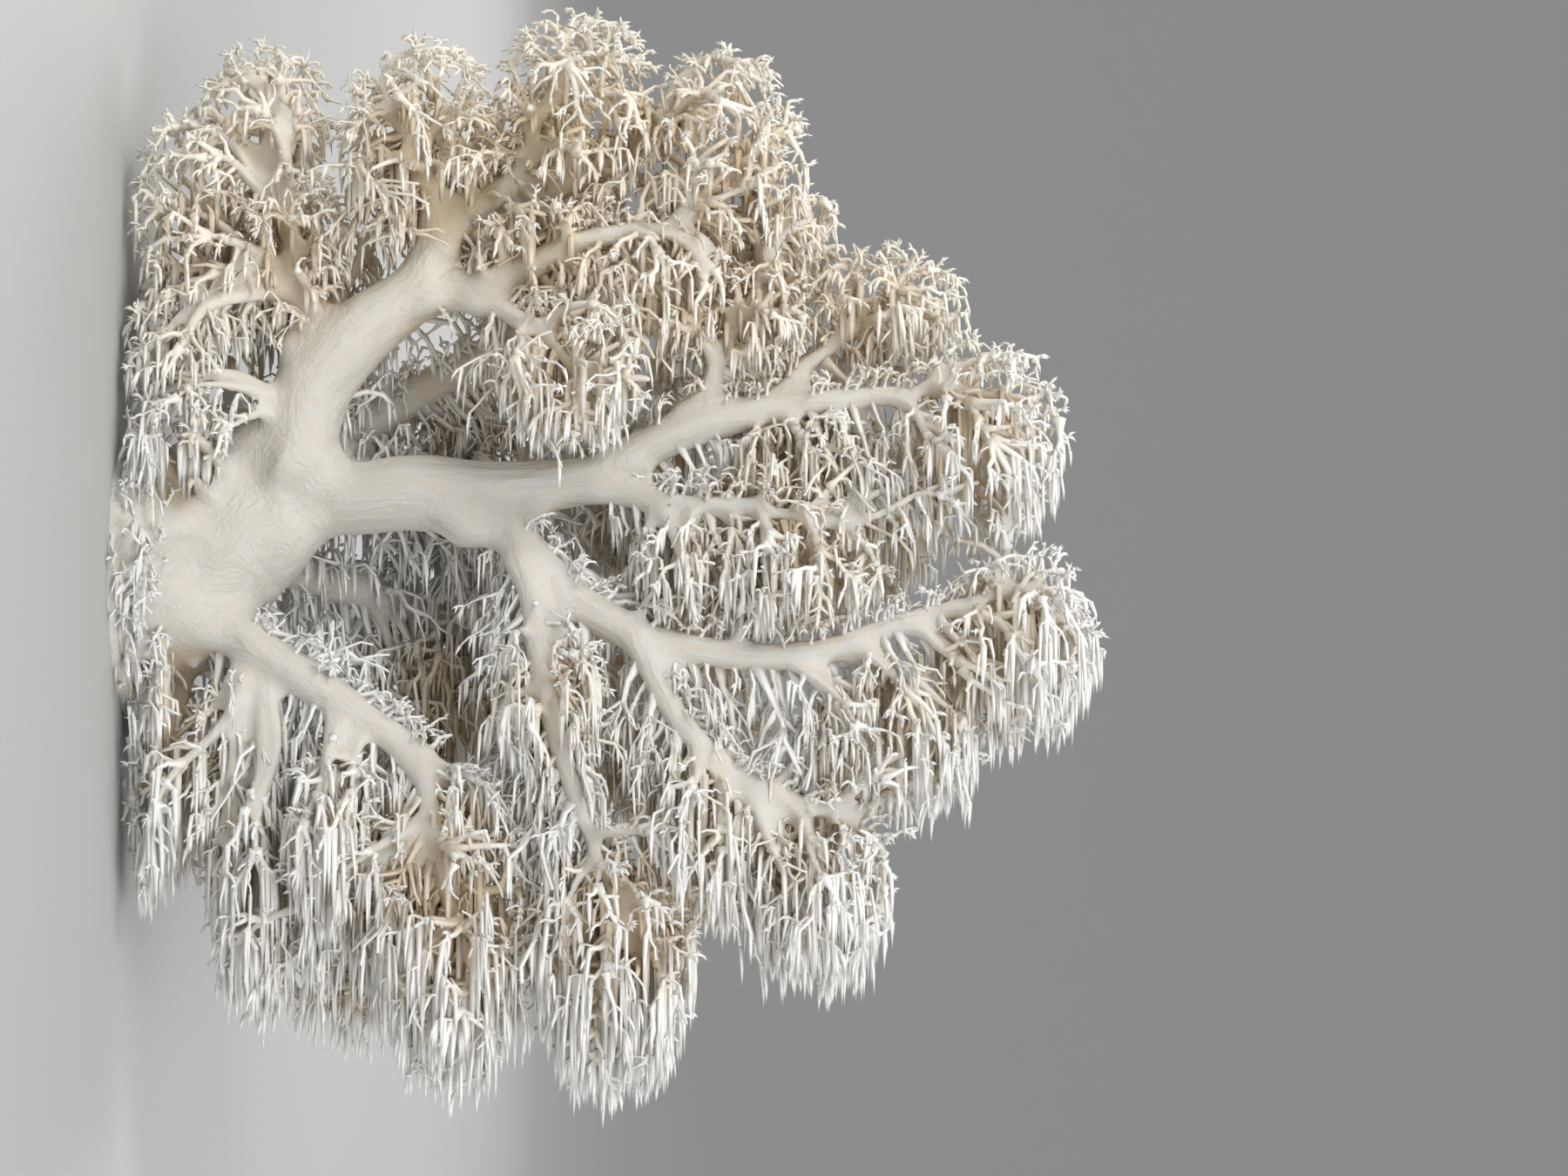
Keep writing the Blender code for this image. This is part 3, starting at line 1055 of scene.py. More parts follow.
@dataclass
class Tuft:
    """One tuft of leaders, branchlets, twigs, curled hooks and hanging spines.

    Attributes:
        envelope: The tuft's solid.
        growth: How many of each strand it bears.
        leaders: The leaders, which are joined to the flesh.
        groups: Every other kind of strand.
    """

    envelope: Envelope
    growth: Growth
    leaders: Strands | None = None
    groups: list[Strands] = field(default_factory=list)

    @property
    def name(self) -> str:
        """The tuft's node name."""
        return self.envelope.name

    def _measures(self, random: np.random.Generator) -> tuple[float, float]:
        """The greatest depth inside the tuft, and the usual length of its longest spines."""
        envelope = self.envelope
        probe = random.uniform(envelope.low, envelope.high, (3000, 3))
        bottom = envelope.centre + DOWN * envelope.half * 0.6
        return float(envelope.depth(probe).max()), float(spine_length(bottom[None])[0])

    def grow_leaders(self, axes: list[LimbAxis]) -> Strands:
        """Leaders from the nearest limbs to the tuft's inside.

        Args:
            axes: All the limbs.

        Returns:
            The leaders.
        """
        random = random_for(self.name + " leaders")
        inner, hang = self._measures(random)
        hang = min(hang, self.envelope.half[0] * 0.9)
        envelope, count = self.envelope, self.growth.leaders
        back = count // 4
        front = envelope.fill(count - back, random, inner * 0.34, inner * 0.1, roof=hang * 0.4, front=True)
        rest = envelope.fill(back, random, inner * 0.6, inner * 0.2, roof=hang)
        targets = np.concatenate([front, rest])
        near = [axis for axis in axes if not (self.name.startswith("log") and axis.name.startswith("crown"))]
        limbs = Strands(np.stack([axis.points for axis in near]), np.stack([axis.radii for axis in near]), 20)
        self.leaders = LEADER.reach(limbs, targets, random, first=0.2, samples=24)
        return self.leaders

    def grow(self, clearance: Clearance) -> None:
        """Grows everything the leaders bear.

        Args:
            clearance: The bare limbs to keep open to view.
        """
        random = random_for(self.name)
        envelope, growth = self.envelope, self.growth
        inner, hang = self._measures(random)
        hang = min(hang, envelope.half[0] * 0.9)
        showing = Clearance.of_leaders(self.leaders)
        faced = growth.branchlets // 2
        targets = envelope.fill(faced, random, inner * 0.2, inner * 0.04, roof=hang * 0.25, front=True)
        facing = clearance.thin(BRANCHLET.reach(self.leaders, targets, random, first=0.12), random)
        rest = growth.branchlets - faced
        targets = envelope.fill(rest, random, inner * 0.42, inner * 0.07, roof=hang * 0.5)
        others = clearance.thin(BRANCHLET.reach(self.leaders, targets, random, first=0.12), random)
        others = showing.thin(others, random, spared=0.3)
        branchlets = facing.joined(others)
        fronts = Clearance.of_branchlets(facing)
        targets = envelope.fill(growth.twigs, random, inner * 0.3, 0.4, roof=hang * 0.2, pool=14000)
        twigs = TWIG.reach(branchlets, targets, random, first=0.15, samples=6)
        twigs = clearance.thin(twigs.keep(twigs.lengths < 16), random)
        twigs = fronts.thin(showing.thin(twigs, random, spared=0.15), random, spared=0.35, places=(0.6, 1.0))
        targets = envelope.fill(growth.inner, random, inner, inner * 0.4)
        cores = INNER.reach(self.leaders, targets, random, first=0.1)
        cores = clearance.thin(cores.keep(cores.lengths < 22), random, spared=0.0)

        spines = [hanging_spines(twigs, int(growth.spines * 0.7), envelope.room_below, random),
                  hanging_spines(branchlets, int(growth.spines * 0.3), envelope.room_below, random)]
        spines = [showing.thin(clearance.thin(group, random), random, spared=0.15) for group in spines]
        spines = [fronts.thin(group, random, spared=0.3, places=(0.3, 0.8)) for group in spines]
        drops = self._inner_drops(cores, random)

        rows = random.integers(0, len(twigs), growth.hooks * 3)
        start, ahead, _ = twigs.at(rows, random.uniform(0.3, 1.0, len(rows)))
        outward = envelope.outward(start)
        upper = -outward @ DOWN
        want = np.exp(-np.maximum(envelope.depth(start), 0) / 4.0) * (0.35 + np.clip(upper + 0.35, 0, 1.3))
        chosen = np.flatnonzero(random.random(len(rows)) < want)[: growth.hooks]
        length = random.uniform(2.2, 5.2, len(chosen))
        curls = hooks(start[chosen], unit(outward[chosen] + ahead[chosen] * 0.5), length, random)
        curls = showing.thin(clearance.thin(curls, random), random, spared=0.3)
        points = tines(curls, int(len(curls) * 1.5), random) if len(curls) else curls
        self.groups = [branchlets, twigs, cores, drops, *spines, curls, points]

    def _inner_drops(self, cores: Strands, random: np.random.Generator) -> Strands:
        """Plain thick spines under the inner twigs, seen only through the outer ones."""
        count = self.growth.inner
        rows = random.integers(0, len(cores), count)
        start, _, _ = cores.at(rows, random.uniform(0.3, 1.0, count))
        length = np.minimum(self.envelope.room_below(start) - 3.0, spine_length(start) * 1.2)
        start, length = start[length > 3], length[length > 3]
        t = np.array((0, 0.5, 1.0))[None, :, None]
        points = start[:, None] + DOWN * (t * length[:, None, None])
        radii = np.full(len(start), 0.95)[:, None] * np.array((1.0, 0.8, 0.4))
        return Strands(points, radii, 3, pointed=True)

    def triangles(self) -> int:
        """The triangles of everything but the leaders."""
        return sum(group.triangles() for group in self.groups)


@dataclass(frozen=True)
class SprayKind:
    """One kind of small spray along the limbs.

    Attributes:
        spacing: The distance between sprays along a limb.
        girth: The least and the greatest radius of a limb that bears it.
        below: The least and the greatest share of its facing that is downwards.
        behind: The least and the greatest share of its facing that is backwards.
        span: Its least and greatest length.
        droop: How far it hangs, as a share of its length.
        twigs: Its twigs.
        spines: Its hanging spines.
        hooks: Its curled hooks.
    """

    spacing: float
    girth: tuple[float, float]
    below: tuple[float, float]
    behind: tuple[float, float]
    span: tuple[float, float]
    droop: float
    twigs: int
    spines: int
    hooks: int


UNDER = SprayKind(spacing=3.3, girth=(0.0, 5.4), below=(0.75, 1.0), behind=(-1.0, 1.3), span=(3.5, 8.5),
                  droop=0.5, twigs=2, spines=5, hooks=0)
FIRS = SprayKind(spacing=5.0, girth=(1.2, 6.4), below=(0.8, 1.0), behind=(-1.0, 0.3), span=(10.0, 19.0),
                 droop=0.75, twigs=9, spines=13, hooks=2)
BESIDE = SprayKind(spacing=2.4, girth=(1.2, 6.4), below=(-0.3, 0.3), behind=(-0.5, 0.5), span=(5.0, 11.0),
                   droop=0.75, twigs=4, spines=7, hooks=2)
LACE = SprayKind(spacing=2.2, girth=(0.0, 5.4), below=(-1.0, -0.7), behind=(-0.9, 1.3), span=(2.2, 6.0),
                 droop=-0.1, twigs=2, spines=0, hooks=3)
BEHIND = SprayKind(spacing=2.2, girth=(4.6, 99.0), below=(-1.2, 1.2), behind=(0.9, 1.0), span=(11.0, 24.0),
                   droop=0.4, twigs=4, spines=8, hooks=0)
ROUND = SprayKind(spacing=2.4, girth=(0.0, 9.0), below=(-1.0, 1.0), behind=(-0.7, 1.0), span=(8.0, 20.0),
                  droop=0.35, twigs=4, spines=8, hooks=0)
FOOT = SprayKind(spacing=0.06, girth=(0.0, 99.0), below=(-1.0, 1.0), behind=(-1.0, 1.0), span=(4.0, 9.5),
                 droop=0.3, twigs=2, spines=3, hooks=2)


@dataclass
class Sprays:
    """Small sprays along the limbs: rows under and over the thin ones, tangles behind the thick ones.

    Attributes:
        axes: The limbs.
        tufts: The tufts, whose leaders are dressed where they run outside them.
        foot: The height above the cut that the foot's own sprays cover.
    """

    axes: list[LimbAxis]
    tufts: list[Tuft]
    foot: float = 14.0

    def grow(self, clearance: Clearance) -> list[Strands]:
        """Grows the sprays.

        Args:
            clearance: The bare limbs to keep open to view.

        Returns:
            The strands of all the sprays.
        """
        strands = []
        for name, kind in (("under", UNDER), ("firs", FIRS), ("beside", BESIDE), ("lace", LACE),
                           ("behind", BEHIND), ("round", ROUND), ("foot", FOOT)):
            strands += self._grow_kind(name, kind, clearance)
        return [group for group in strands if len(group)]

    def _bearers(self, name: str) -> list[tuple[Strands, float, float]]:
        """The limbs that bear a kind of spray, with the part of each that does."""
        if name == "foot":
            stem = next(axis for axis in self.axes if axis.points[0, 2] < 0.5)
            return [(stem.strand, 0.0, self.foot / stem.points[-1, 2])]
        if name == "round":
            return [(axis.strand, 0.05, 1.0) for axis in self.axes if axis.name.startswith("back")]
        last = 0.8 if name in ("firs", "beside") else 1.0
        limbs = [(axis.strand, 0.0, last) for axis in self.axes]
        return limbs + (self._open_leaders() if name == "under" else [])

    def _open_leaders(self) -> list[tuple[Strands, float, float]]:
        """The leaders that run more than a little way outside their own tufts, and that part."""
        found = []
        for tuft in self.tufts:
            for row in range(len(tuft.leaders)):
                one = tuft.leaders.keep(np.arange(len(tuft.leaders)) == row)
                outside = tuft.envelope.depth(one.points[0]) < 1.5
                last = float(outside.argmin() if not outside.all() else len(outside)) / len(outside)
                if (last - 0.3) * float(one.lengths[0]) > 6.0:
                    found.append((one, 0.3, last))
        return found

    def _grow_kind(self, name: str, kind: SprayKind, clearance: Clearance) -> list[Strands]:
        """Grows all the sprays of one kind.

        Args:
            name: The kind's name.
            kind: The kind.
            clearance: The bare limbs to keep open to view.

        Returns:
            The stems, twigs, spines, hooks and side points.
        """
        random = random_for("sprays " + name)
        reads = []
        for strand, first, last in self._bearers(name):
            count = int(float(strand.lengths[0]) * (last - first) / kind.spacing)
            places = mix(first, last, (np.arange(count) + random.random(count)) / max(count, 1))
            spot, ahead, radius = strand.at(np.zeros(count, int), places)
            borne = (radius > kind.girth[0]) & (radius < kind.girth[1])
            borne &= (np.abs(ahead @ DOWN) > 0.45) | (name != "beside")
            reads.append((spot[borne], ahead[borne], radius[borne]))
        spot, ahead, radius = (np.concatenate(items) for items in zip(*reads))
        count = len(spot)
        below = unit(DOWN - ahead * (ahead @ DOWN)[:, None])
        behind = unit(SIDE - ahead * (ahead @ SIDE)[:, None])
        aside = np.cross(ahead, SIDE) * random.choice((-1.0, 1.0), (count, 1)) * float(name == "beside")
        below = below * random.uniform(*kind.below, (count, 1))
        facing = unit(below + behind * random.uniform(*kind.behind, (count, 1)) + aside)
        span = random.uniform(*kind.span, (count, 1))
        root = spot + facing * (radius * 0.75)[:, None]
        target = root + facing * ((radius * 0.25)[:, None] + span * 0.6)
        target = target + ahead * span * random.uniform(0.1, 0.5)
        target = target + DOWN * span * (kind.droop + random.uniform(-0.25, 0.25, (count, 1)))
        target = target + scatter(random, count) * span * 0.2
        stems = SPRIG.path(root, unit(facing + ahead * 0.5), span[:, 0] * 0.05 + 0.55, target, random)
        stems = clearance.thin(stems, random, spared=0.03)
        if name in ("firs", "behind", "round"):
            stems = stems.keep(self._near_tufts(stems.points[:, -1], 2.5 if name == "firs" else 20.0))

        many = len(stems) * kind.twigs
        rows = np.tile(np.arange(len(stems)), kind.twigs)
        spot, ahead, widths = stems.at(rows, random.uniform(0.3, 1.0, many))
        span = stems.lengths[rows] * random.uniform(0.35, 0.65, many)
        target = spot + unit(scatter(random, many) + ahead * 0.7 + DOWN * kind.droop * 0.6) * span[:, None]
        twigs = clearance.thin(TWIG.path(spot, ahead, widths, target, random), random)
        groups = [stems, twigs]
        if kind.spines:
            groups.append(clearance.thin(self._spines(twigs, len(stems) * kind.spines, random), random))
        if kind.hooks:
            rows = random.integers(0, len(twigs), len(stems) * kind.hooks)
            start, ahead, _ = twigs.at(rows, random.uniform(0.2, 1.0, len(rows)))
            outward = unit(scatter(random, len(rows)) * 0.8 + ahead - DOWN * 0.3)
            curls = hooks(start, outward, random.uniform(1.8, 4.2, len(rows)), random, radius=0.38)
            curls = clearance.thin(curls, random)
            groups += [curls, tines(curls, len(curls), random)]
        return groups

    def _near_tufts(self, places: Array, gap: float) -> Array:
        """Which places are in a tuft's solid or within a gap of one, so that no spray stands alone."""
        depths = [tuft.envelope.depth(places + DOWN * 5.0) for tuft in self.tufts]
        return np.max(depths, axis=0) > -gap

    @staticmethod
    def _spines(twigs: Strands, count: int, random: np.random.Generator) -> Strands:
        """The sprays' spines, which are shorter than the tufts'."""

        def room(places: Array) -> Array:
            """A random share of the usual length."""
            return spine_length(places) * random.uniform(0.25, 0.65, len(places))

        return hanging_spines(twigs, count, room, random, sides=3)


# ---------------------------------------------------------------- building the pieces


def build_strands(name: str, groups: list[Strands], enclosure: Enclosure, floor: float) -> bpy.types.Object:
    """Makes one piece from groups of strands.

    Args:
        name: The piece's name.
        groups: The strands.
        enclosure: What closes the strands in.
        floor: The least height above the cut, in millimetres.

    Returns:
        The piece, with its values for each vertex: how closed in it is, which masks the painted shade of
        recesses, tip and tone.
    """
    random = random_for(name + " tone")
    vertices, faces, recess, tip, tone, maps = [], {}, [], [], [], []
    base = 0
    total = sum(len(group) for group in groups)
    columns = int(math.ceil(math.sqrt(total)))
    cell = 0
    order: dict[int, list[Array]] = {}
    for group in groups:
        if not len(group):
            continue
        group = group.keep(group.points[:, :, 2].min(1) > floor)
        surface = group.surface()
        count, rings = len(group), group.rings
        # Painted shade: how closed in each strand's ends are, blended along it, turns strands in recesses
        # darker and warmer.
        closed = enclosure.share(np.concatenate([group.points[:, 0], group.points[:, -1]]))
        start, end = closed[:count, None], closed[count:, None]
        along = np.concatenate([np.repeat(np.linspace(0, 1, rings), group.sides), [1.0]])[None]
        recess.append(mix(start, end, along).ravel())
        tip.append(surface.tip)
        tone.append(np.repeat(random.uniform(-1, 1, count), rings * group.sides + 1))
        vertices.append(surface.vertices)
        cells = cell + np.arange(count)
        corner = np.stack([cells % columns, cells // columns], 1)[:, None, None]
        for kind, (part, unit_map) in enumerate(zip(surface.faces, surface.maps)):
            corners = part.shape[1]
            faces.setdefault(kind, []).append((corners, part + base))
            placed = (corner + 0.08 + 0.84 * unit_map) / columns
            order.setdefault(kind, []).append(placed.reshape(-1, 2))
        base += len(surface.vertices)
        cell += count
    groups_of_faces, maps = [], []
    for kind in sorted(faces):
        for (corners, part), placed in zip(faces[kind], order[kind]):
            groups_of_faces.append(part)
            maps.append(placed)
    places = np.concatenate(vertices)
    places[:, 2] = np.maximum(places[:, 2], floor)
    mesh = write_mesh(name, places, groups_of_faces)
    bake_map = mesh.uv_layers.new(name=BAKE_MAP)
    bake_map.data.foreach_set("uv", np.concatenate(maps).astype(np.float32).ravel())
    add_values(mesh, "recess", np.concatenate(recess))
    add_values(mesh, "tip", np.concatenate(tip))
    add_values(mesh, "tone", np.concatenate(tone))
    piece = bpy.data.objects.new(name, mesh)
    bpy.context.scene.collection.objects.link(piece)
    return piece


@dataclass
class Flesh:
    """The one skin over the stem, the limbs and the leaders, with rounded webs in the forks.

    Attributes:
        axes: The limbs' middle lines.
        leaders: The tufts' leaders.
        cell: The size of the cells the skin is first built from, in millimetres.
        web: How far the skin is swollen and shrunk again, which fills the forks of the leaders.
        limb_web: The same for the forks of the limbs.
        most: The most triangles in the finished skin.
    """

    axes: list[LimbAxis]
    leaders: list[Strands]
    cell: float = 0.8
    web: float = 1.3
    limb_web: float = 3.4
    most: int = 190_000

    NAME = "flesh"

    def build(self, enclosure: Enclosure) -> bpy.types.Object:
        """Makes the skin as one closed piece.

        Args:
            enclosure: What closes the limbs in.

        Returns:
            The piece, with its values for each vertex.
        """
        limbs = [self._limb(axis) for axis in self.axes]
        mesh = self._webbed(self._tubes(limbs), self.limb_web, self.cell * 1.5)
        mesh = self._webbed(self._joined(mesh, self._tubes(self.leaders)), self.web, self.cell)
        self._even(mesh, rounds=6)
        LOG.info("flesh skin: %d vertices before thinning", len(mesh.vertices))
        mesh = self._thin(mesh)
        mesh = self._cut_flat(mesh)
        self._dress(mesh, enclosure)
        piece = bpy.data.objects.new(self.NAME, mesh)
        bpy.context.scene.collection.objects.link(piece)
        return piece

    def _webbed(self, mesh: bpy.types.Mesh, web: float, cell: float) -> bpy.types.Mesh:
        """Swells the shape and shrinks it again, which leaves the forks filled."""
        mesh = self._remesh(mesh, cell)
        move_vertices(mesh, vertex_places(mesh) + vertex_normals(mesh) * web)
        mesh = self._remesh(mesh, cell)
        move_vertices(mesh, vertex_places(mesh) - vertex_normals(mesh) * web)
        return self._remesh(mesh, cell)

    @staticmethod
    def _tubes(strands: list[Strands]) -> bpy.types.Mesh:
        """Overlapping tubes, as one mesh."""
        vertices, faces, base = [], [], 0
        for strand in strands:
            surface = strand.surface()
            vertices.append(surface.vertices)
            faces.extend(part + base for part in surface.faces)
            base += len(surface.vertices)
        return write_mesh("tubes", np.concatenate(vertices), faces)

    @staticmethod
    def _joined(first: bpy.types.Mesh, second: bpy.types.Mesh) -> bpy.types.Mesh:
        """Both meshes in one."""
        shape = bmesh.new()
        shape.from_mesh(first)
        shape.from_mesh(second)
        shape.to_mesh(first)
        shape.free()
        bpy.data.meshes.remove(second)
        return first

    def _fork(self, axis: LimbAxis) -> tuple[Array, float] | None:
        """The place on another limb's middle line that a limb springs from, and the radius there.

        Args:
            axis: The limb.

        Returns:
            The nearest place on another limb, a little nearer that limb's own root, with its radius,
            or None for the limb that stands on the cut.
        """
        start = axis.points[0]
        if start[2] < 0.5:
            return None
        best, found = np.inf, None
        for other in self.axes:
            if other is axis:
                continue
            gaps = np.linalg.norm(other.points - start, axis=1) - other.radii
            near = int(gaps.argmin())
            rootward = np.linalg.norm(other.points[0]) < np.linalg.norm(start) + 6
            if rootward and gaps[near] < best:
                back = max(near - 2, 0)
                best, found = gaps[near], (other.points[back], float(other.radii[near]))
        return found

    def _limb(self, axis: LimbAxis) -> Strands:
        """A limb's tube, finer than its axis, widened at its root and carried into its parent."""
        strand = axis.strand
        count = 73
        fine = np.linspace(0, 1, count)
        points, _, radii = strand.at(np.zeros(count, int), fine)
        for _ in range(3):
            points[1:-1] = (points[:-2] + 2 * points[1:-1] + points[2:]) / 4
            radii[1:-1] = (radii[:-2] + 2 * radii[1:-1] + radii[2:]) / 4
        along = fine * float(strand.lengths[0])
        fork = self._fork(axis)
        if fork is None:
            radii = radii * (1 - 0.12 * smoothstep(0.7, 1.0, fine))
            points = np.concatenate([points[:1] - OUT * 5.0, points])
            return Strands(points[None], np.concatenate([radii[:1], radii])[None], 40)
        spring, girth = fork
        radii = np.maximum(radii, np.median(radii[10:26]) * (1 - fine) ** 0.3)
        full = min(float(np.median(radii[:20])) * 1.3, girth * 0.86)
        radii = np.maximum(radii, mix(radii, full, np.exp(-along / (0.9 * full))))
        radii[0] = min(radii[0], girth * 0.9)
        steps = np.array((0.0, 0.35, 0.7))[:, None]
        lead = mix(spring, points[0], steps)
        thick = np.minimum(radii[0], girth * np.array((0.7, 0.82, 0.9)))
        return Strands(np.concatenate([lead, points])[None], np.concatenate([thick, radii])[None], 28)

    def _evaluated(self, mesh: bpy.types.Mesh, set_up: Callable[[bpy.types.Object], None]) -> bpy.types.Mesh:
        """Runs modifiers over a mesh and returns the result as a new mesh."""
        holder = bpy.data.objects.new("holder", mesh)
        bpy.context.scene.collection.objects.link(holder)
        set_up(holder)
        graph = bpy.context.evaluated_depsgraph_get()
        result = bpy.data.meshes.new_from_object(holder.evaluated_get(graph))
        bpy.data.objects.remove(holder)
        bpy.data.meshes.remove(mesh)
        return result

    def _remesh(self, mesh: bpy.types.Mesh, cell: float) -> bpy.types.Mesh:
        """Rebuilds the skin as one closed surface over even cells."""

        def set_up(holder: bpy.types.Object) -> None:
            """Adds the voxel remesh."""
            step = holder.modifiers.new("cells", "REMESH")
            step.mode = "VOXEL"
            step.voxel_size = cell * MM
            step.use_smooth_shade = True

        return self._evaluated(mesh, set_up)

    def _thin(self, mesh: bpy.types.Mesh) -> bpy.types.Mesh:
        """Leaves out vertices where the skin is nearly flat, down to the triangle limit."""
        triangles = sum(len(face.vertices) - 2 for face in mesh.polygons)

        def set_up(holder: bpy.types.Object) -> None:
            """Adds the thinning."""
            step = holder.modifiers.new("thin", "DECIMATE")
            step.ratio = min(1.0, self.most / triangles)

        return self._evaluated(mesh, set_up)

    @classmethod
    def _spread(cls, values: Array, pairs: Array, share: float) -> Array:
        """Moves each vertex's values part of the way to its neighbours' mean."""
        count = len(values)
        ends = np.concatenate([pairs[:, 0], pairs[:, 1]])
        others = np.concatenate([pairs[:, 1], pairs[:, 0]])
        number = np.maximum(np.bincount(ends, minlength=count), 1)[:, None]
        sums = np.stack([np.bincount(ends, weights=values[others, axis], minlength=count)
                         for axis in range(values.shape[1])], 1)
        return values + (sums / number - values) * share

    @classmethod
    def _even(cls, mesh: bpy.types.Mesh, rounds: int) -> None:
        """Smooths the skin without shrinking it: each round smooths by 0.5 and puts back 0.52."""
        pairs = edge_pairs(mesh)
        places = vertex_places(mesh)
        for _ in range(rounds):
            places = cls._spread(places, pairs, 0.5)
            places = cls._spread(places, pairs, -0.52)
        move_vertices(mesh, places)

    @staticmethod
    def _cut_flat(mesh: bpy.types.Mesh) -> bpy.types.Mesh:
        """Cuts the foot off at the plane z = 0 and closes the cut."""
        shape = bmesh.new()
        shape.from_mesh(mesh)
        every = list(shape.verts) + list(shape.edges) + list(shape.faces)
        bmesh.ops.bisect_plane(shape, geom=every, plane_co=(0, 0, 0), plane_no=(0, 0, 1), clear_inner=True)
        rim = [edge for edge in shape.edges if edge.is_boundary]
        filled = bmesh.ops.holes_fill(shape, edges=rim, sides=0)
        for face in filled["faces"]:
            face.smooth = False
        for edge in rim:
            edge.smooth = False
        bmesh.ops.triangulate(shape, faces=filled["faces"])
        shape.to_mesh(mesh)
        shape.free()
        mesh.update()
        return mesh

    def _dress(self, mesh: bpy.types.Mesh, enclosure: Enclosure) -> None:
        """Stores the skin's values: how closed in it is, which masks the painted shade of its recesses, how
        thick its limb is, and its grain.

        The grain is the offset from the limb's middle line, which hardly changes along a limb, so
        noise read at that offset makes fibres that run along it. It is spread over the skin so that
        it changes gently where limbs join.

        Args:
            mesh: The skin.
            enclosure: What closes it in.
        """
        places = vertex_places(mesh)
        parts = [self._limb(axis) for axis in self.axes]
        spots, widths, runs = [], [], []
        for part in parts:
            line, _, radii = part.at(np.zeros(60, int), np.linspace(0, 1, 60))
            spots.append(line)
            widths.append(radii)
            runs.append(np.linspace(0, part.lengths[0], 60))
        for group in self.leaders:
            for row in range(len(group)):
                line, _, radii = group.at(np.full(10, row), np.linspace(0, 1, 10))
                spots.append(line)
                widths.append(radii)
                runs.append(np.linspace(0, 20, 10))
        spots, widths, runs = np.concatenate(spots), np.concatenate(widths), np.concatenate(runs)
        rows, _ = nearest_rows(places, spots)
        values = np.concatenate([places - spots[rows], widths[rows, None], runs[rows, None]], 1)
        pairs = edge_pairs(mesh)
        for _ in range(12):
            values = self._spread(values, pairs, 0.7)
        relief = value_noise(values[:, :3] * 0.55 + values[:, 4:] * 0.02, 1)
        relief += 0.5 * value_noise(values[:, :3] * 1.2 + values[:, 4:] * 0.03, 2)
        swell = value_noise(places / 9.0, 3)
        height = relief * 0.32 * smoothstep(1.2, 6.0, values[:, 3]) + swell * 0.05 * values[:, 3]
        above = smoothstep(0.5, 4.0, places[:, 2])
        move_vertices(mesh, places + vertex_normals(mesh) * (height * above)[:, None])
        add_values(mesh, "grain", values[:, :3])
        add_values(mesh, "girth", values[:, 3])
        add_values(mesh, "run", values[:, 4])
        # Painted shade: the closed-in share, weighted by the way the skin faces, turns its recesses darker
        # and warmer.
        add_values(mesh, "recess", enclosure.share(places, facing=vertex_normals(mesh)))


# ---------------------------------------------------------------- finishes


class Graph:
    """A small helper that builds one node tree."""

    def __init__(self, tree: bpy.types.NodeTree) -> None:
        """Keeps the tree it builds in."""
        self.tree = tree

    def node(self, kind: str, **settings: object) -> bpy.types.Node:
        """Adds a node and sets its properties."""
        node = self.tree.nodes.new(kind)
        for key, value in settings.items():
            setattr(node, key, value)
        return node

    def link(self, source: bpy.types.NodeSocket, target: bpy.types.NodeSocket) -> None:
        """Joins two sockets."""
        self.tree.links.new(source, target)

    def feed(self, target: bpy.types.NodeSocket, value: object) -> None:
        """Links a socket, or sets a plain value."""
        if isinstance(value, bpy.types.NodeSocket):
            self.link(value, target)
        else:
            target.default_value = value

    def attribute(self, name: str, output: str = "Fac") -> bpy.types.NodeSocket:
        """Reads a stored value."""
        return self.node("ShaderNodeAttribute", attribute_name=name).outputs[output]

    def maths(self, operation: str, first: object, second: object = 0.0) -> bpy.types.NodeSocket:
        """One arithmetic step."""
        node = self.node("ShaderNodeMath", operation=operation)
        self.feed(node.inputs[0], first)
        self.feed(node.inputs[1], second)
        return node.outputs[0]

    def ramp(self, value: object, low: float, high: float, start: float = 0.0,
             end: float = 1.0) -> bpy.types.NodeSocket:
        """A smooth ramp from start to end as the value goes from low to high."""
        node = self.node("ShaderNodeMapRange", interpolation_type="SMOOTHSTEP")
        self.feed(node.inputs["Value"], value)
        for key, number in (("From Min", low), ("From Max", high), ("To Min", start), ("To Max", end)):
            node.inputs[key].default_value = number
        return node.outputs["Result"]

    def blend(self, share: object, first: object, second: object) -> bpy.types.NodeSocket:
        """A blend of two colours."""
        node = self.node("ShaderNodeMix", data_type="RGBA")
        self.feed(node.inputs[0], share)
        self.feed(node.inputs[6], first)
        self.feed(node.inputs[7], second)
        return node.outputs[2]

    def noise(self, vector: object, scale: float, detail: float = 2.0,
              roughness: float = 0.5) -> bpy.types.NodeSocket:
        """Soft noise at a place."""
        node = self.node("ShaderNodeTexNoise")
        self.feed(node.inputs["Vector"], vector)
        node.inputs["Scale"].default_value = scale
        node.inputs["Detail"].default_value = detail
        node.inputs["Roughness"].default_value = roughness
        return node.outputs["Fac"]


def colour(red: float, green: float, blue: float) -> tuple[float, float, float, float]:
    """A colour with full alpha, in linear light."""
    return red, green, blue, 1.0


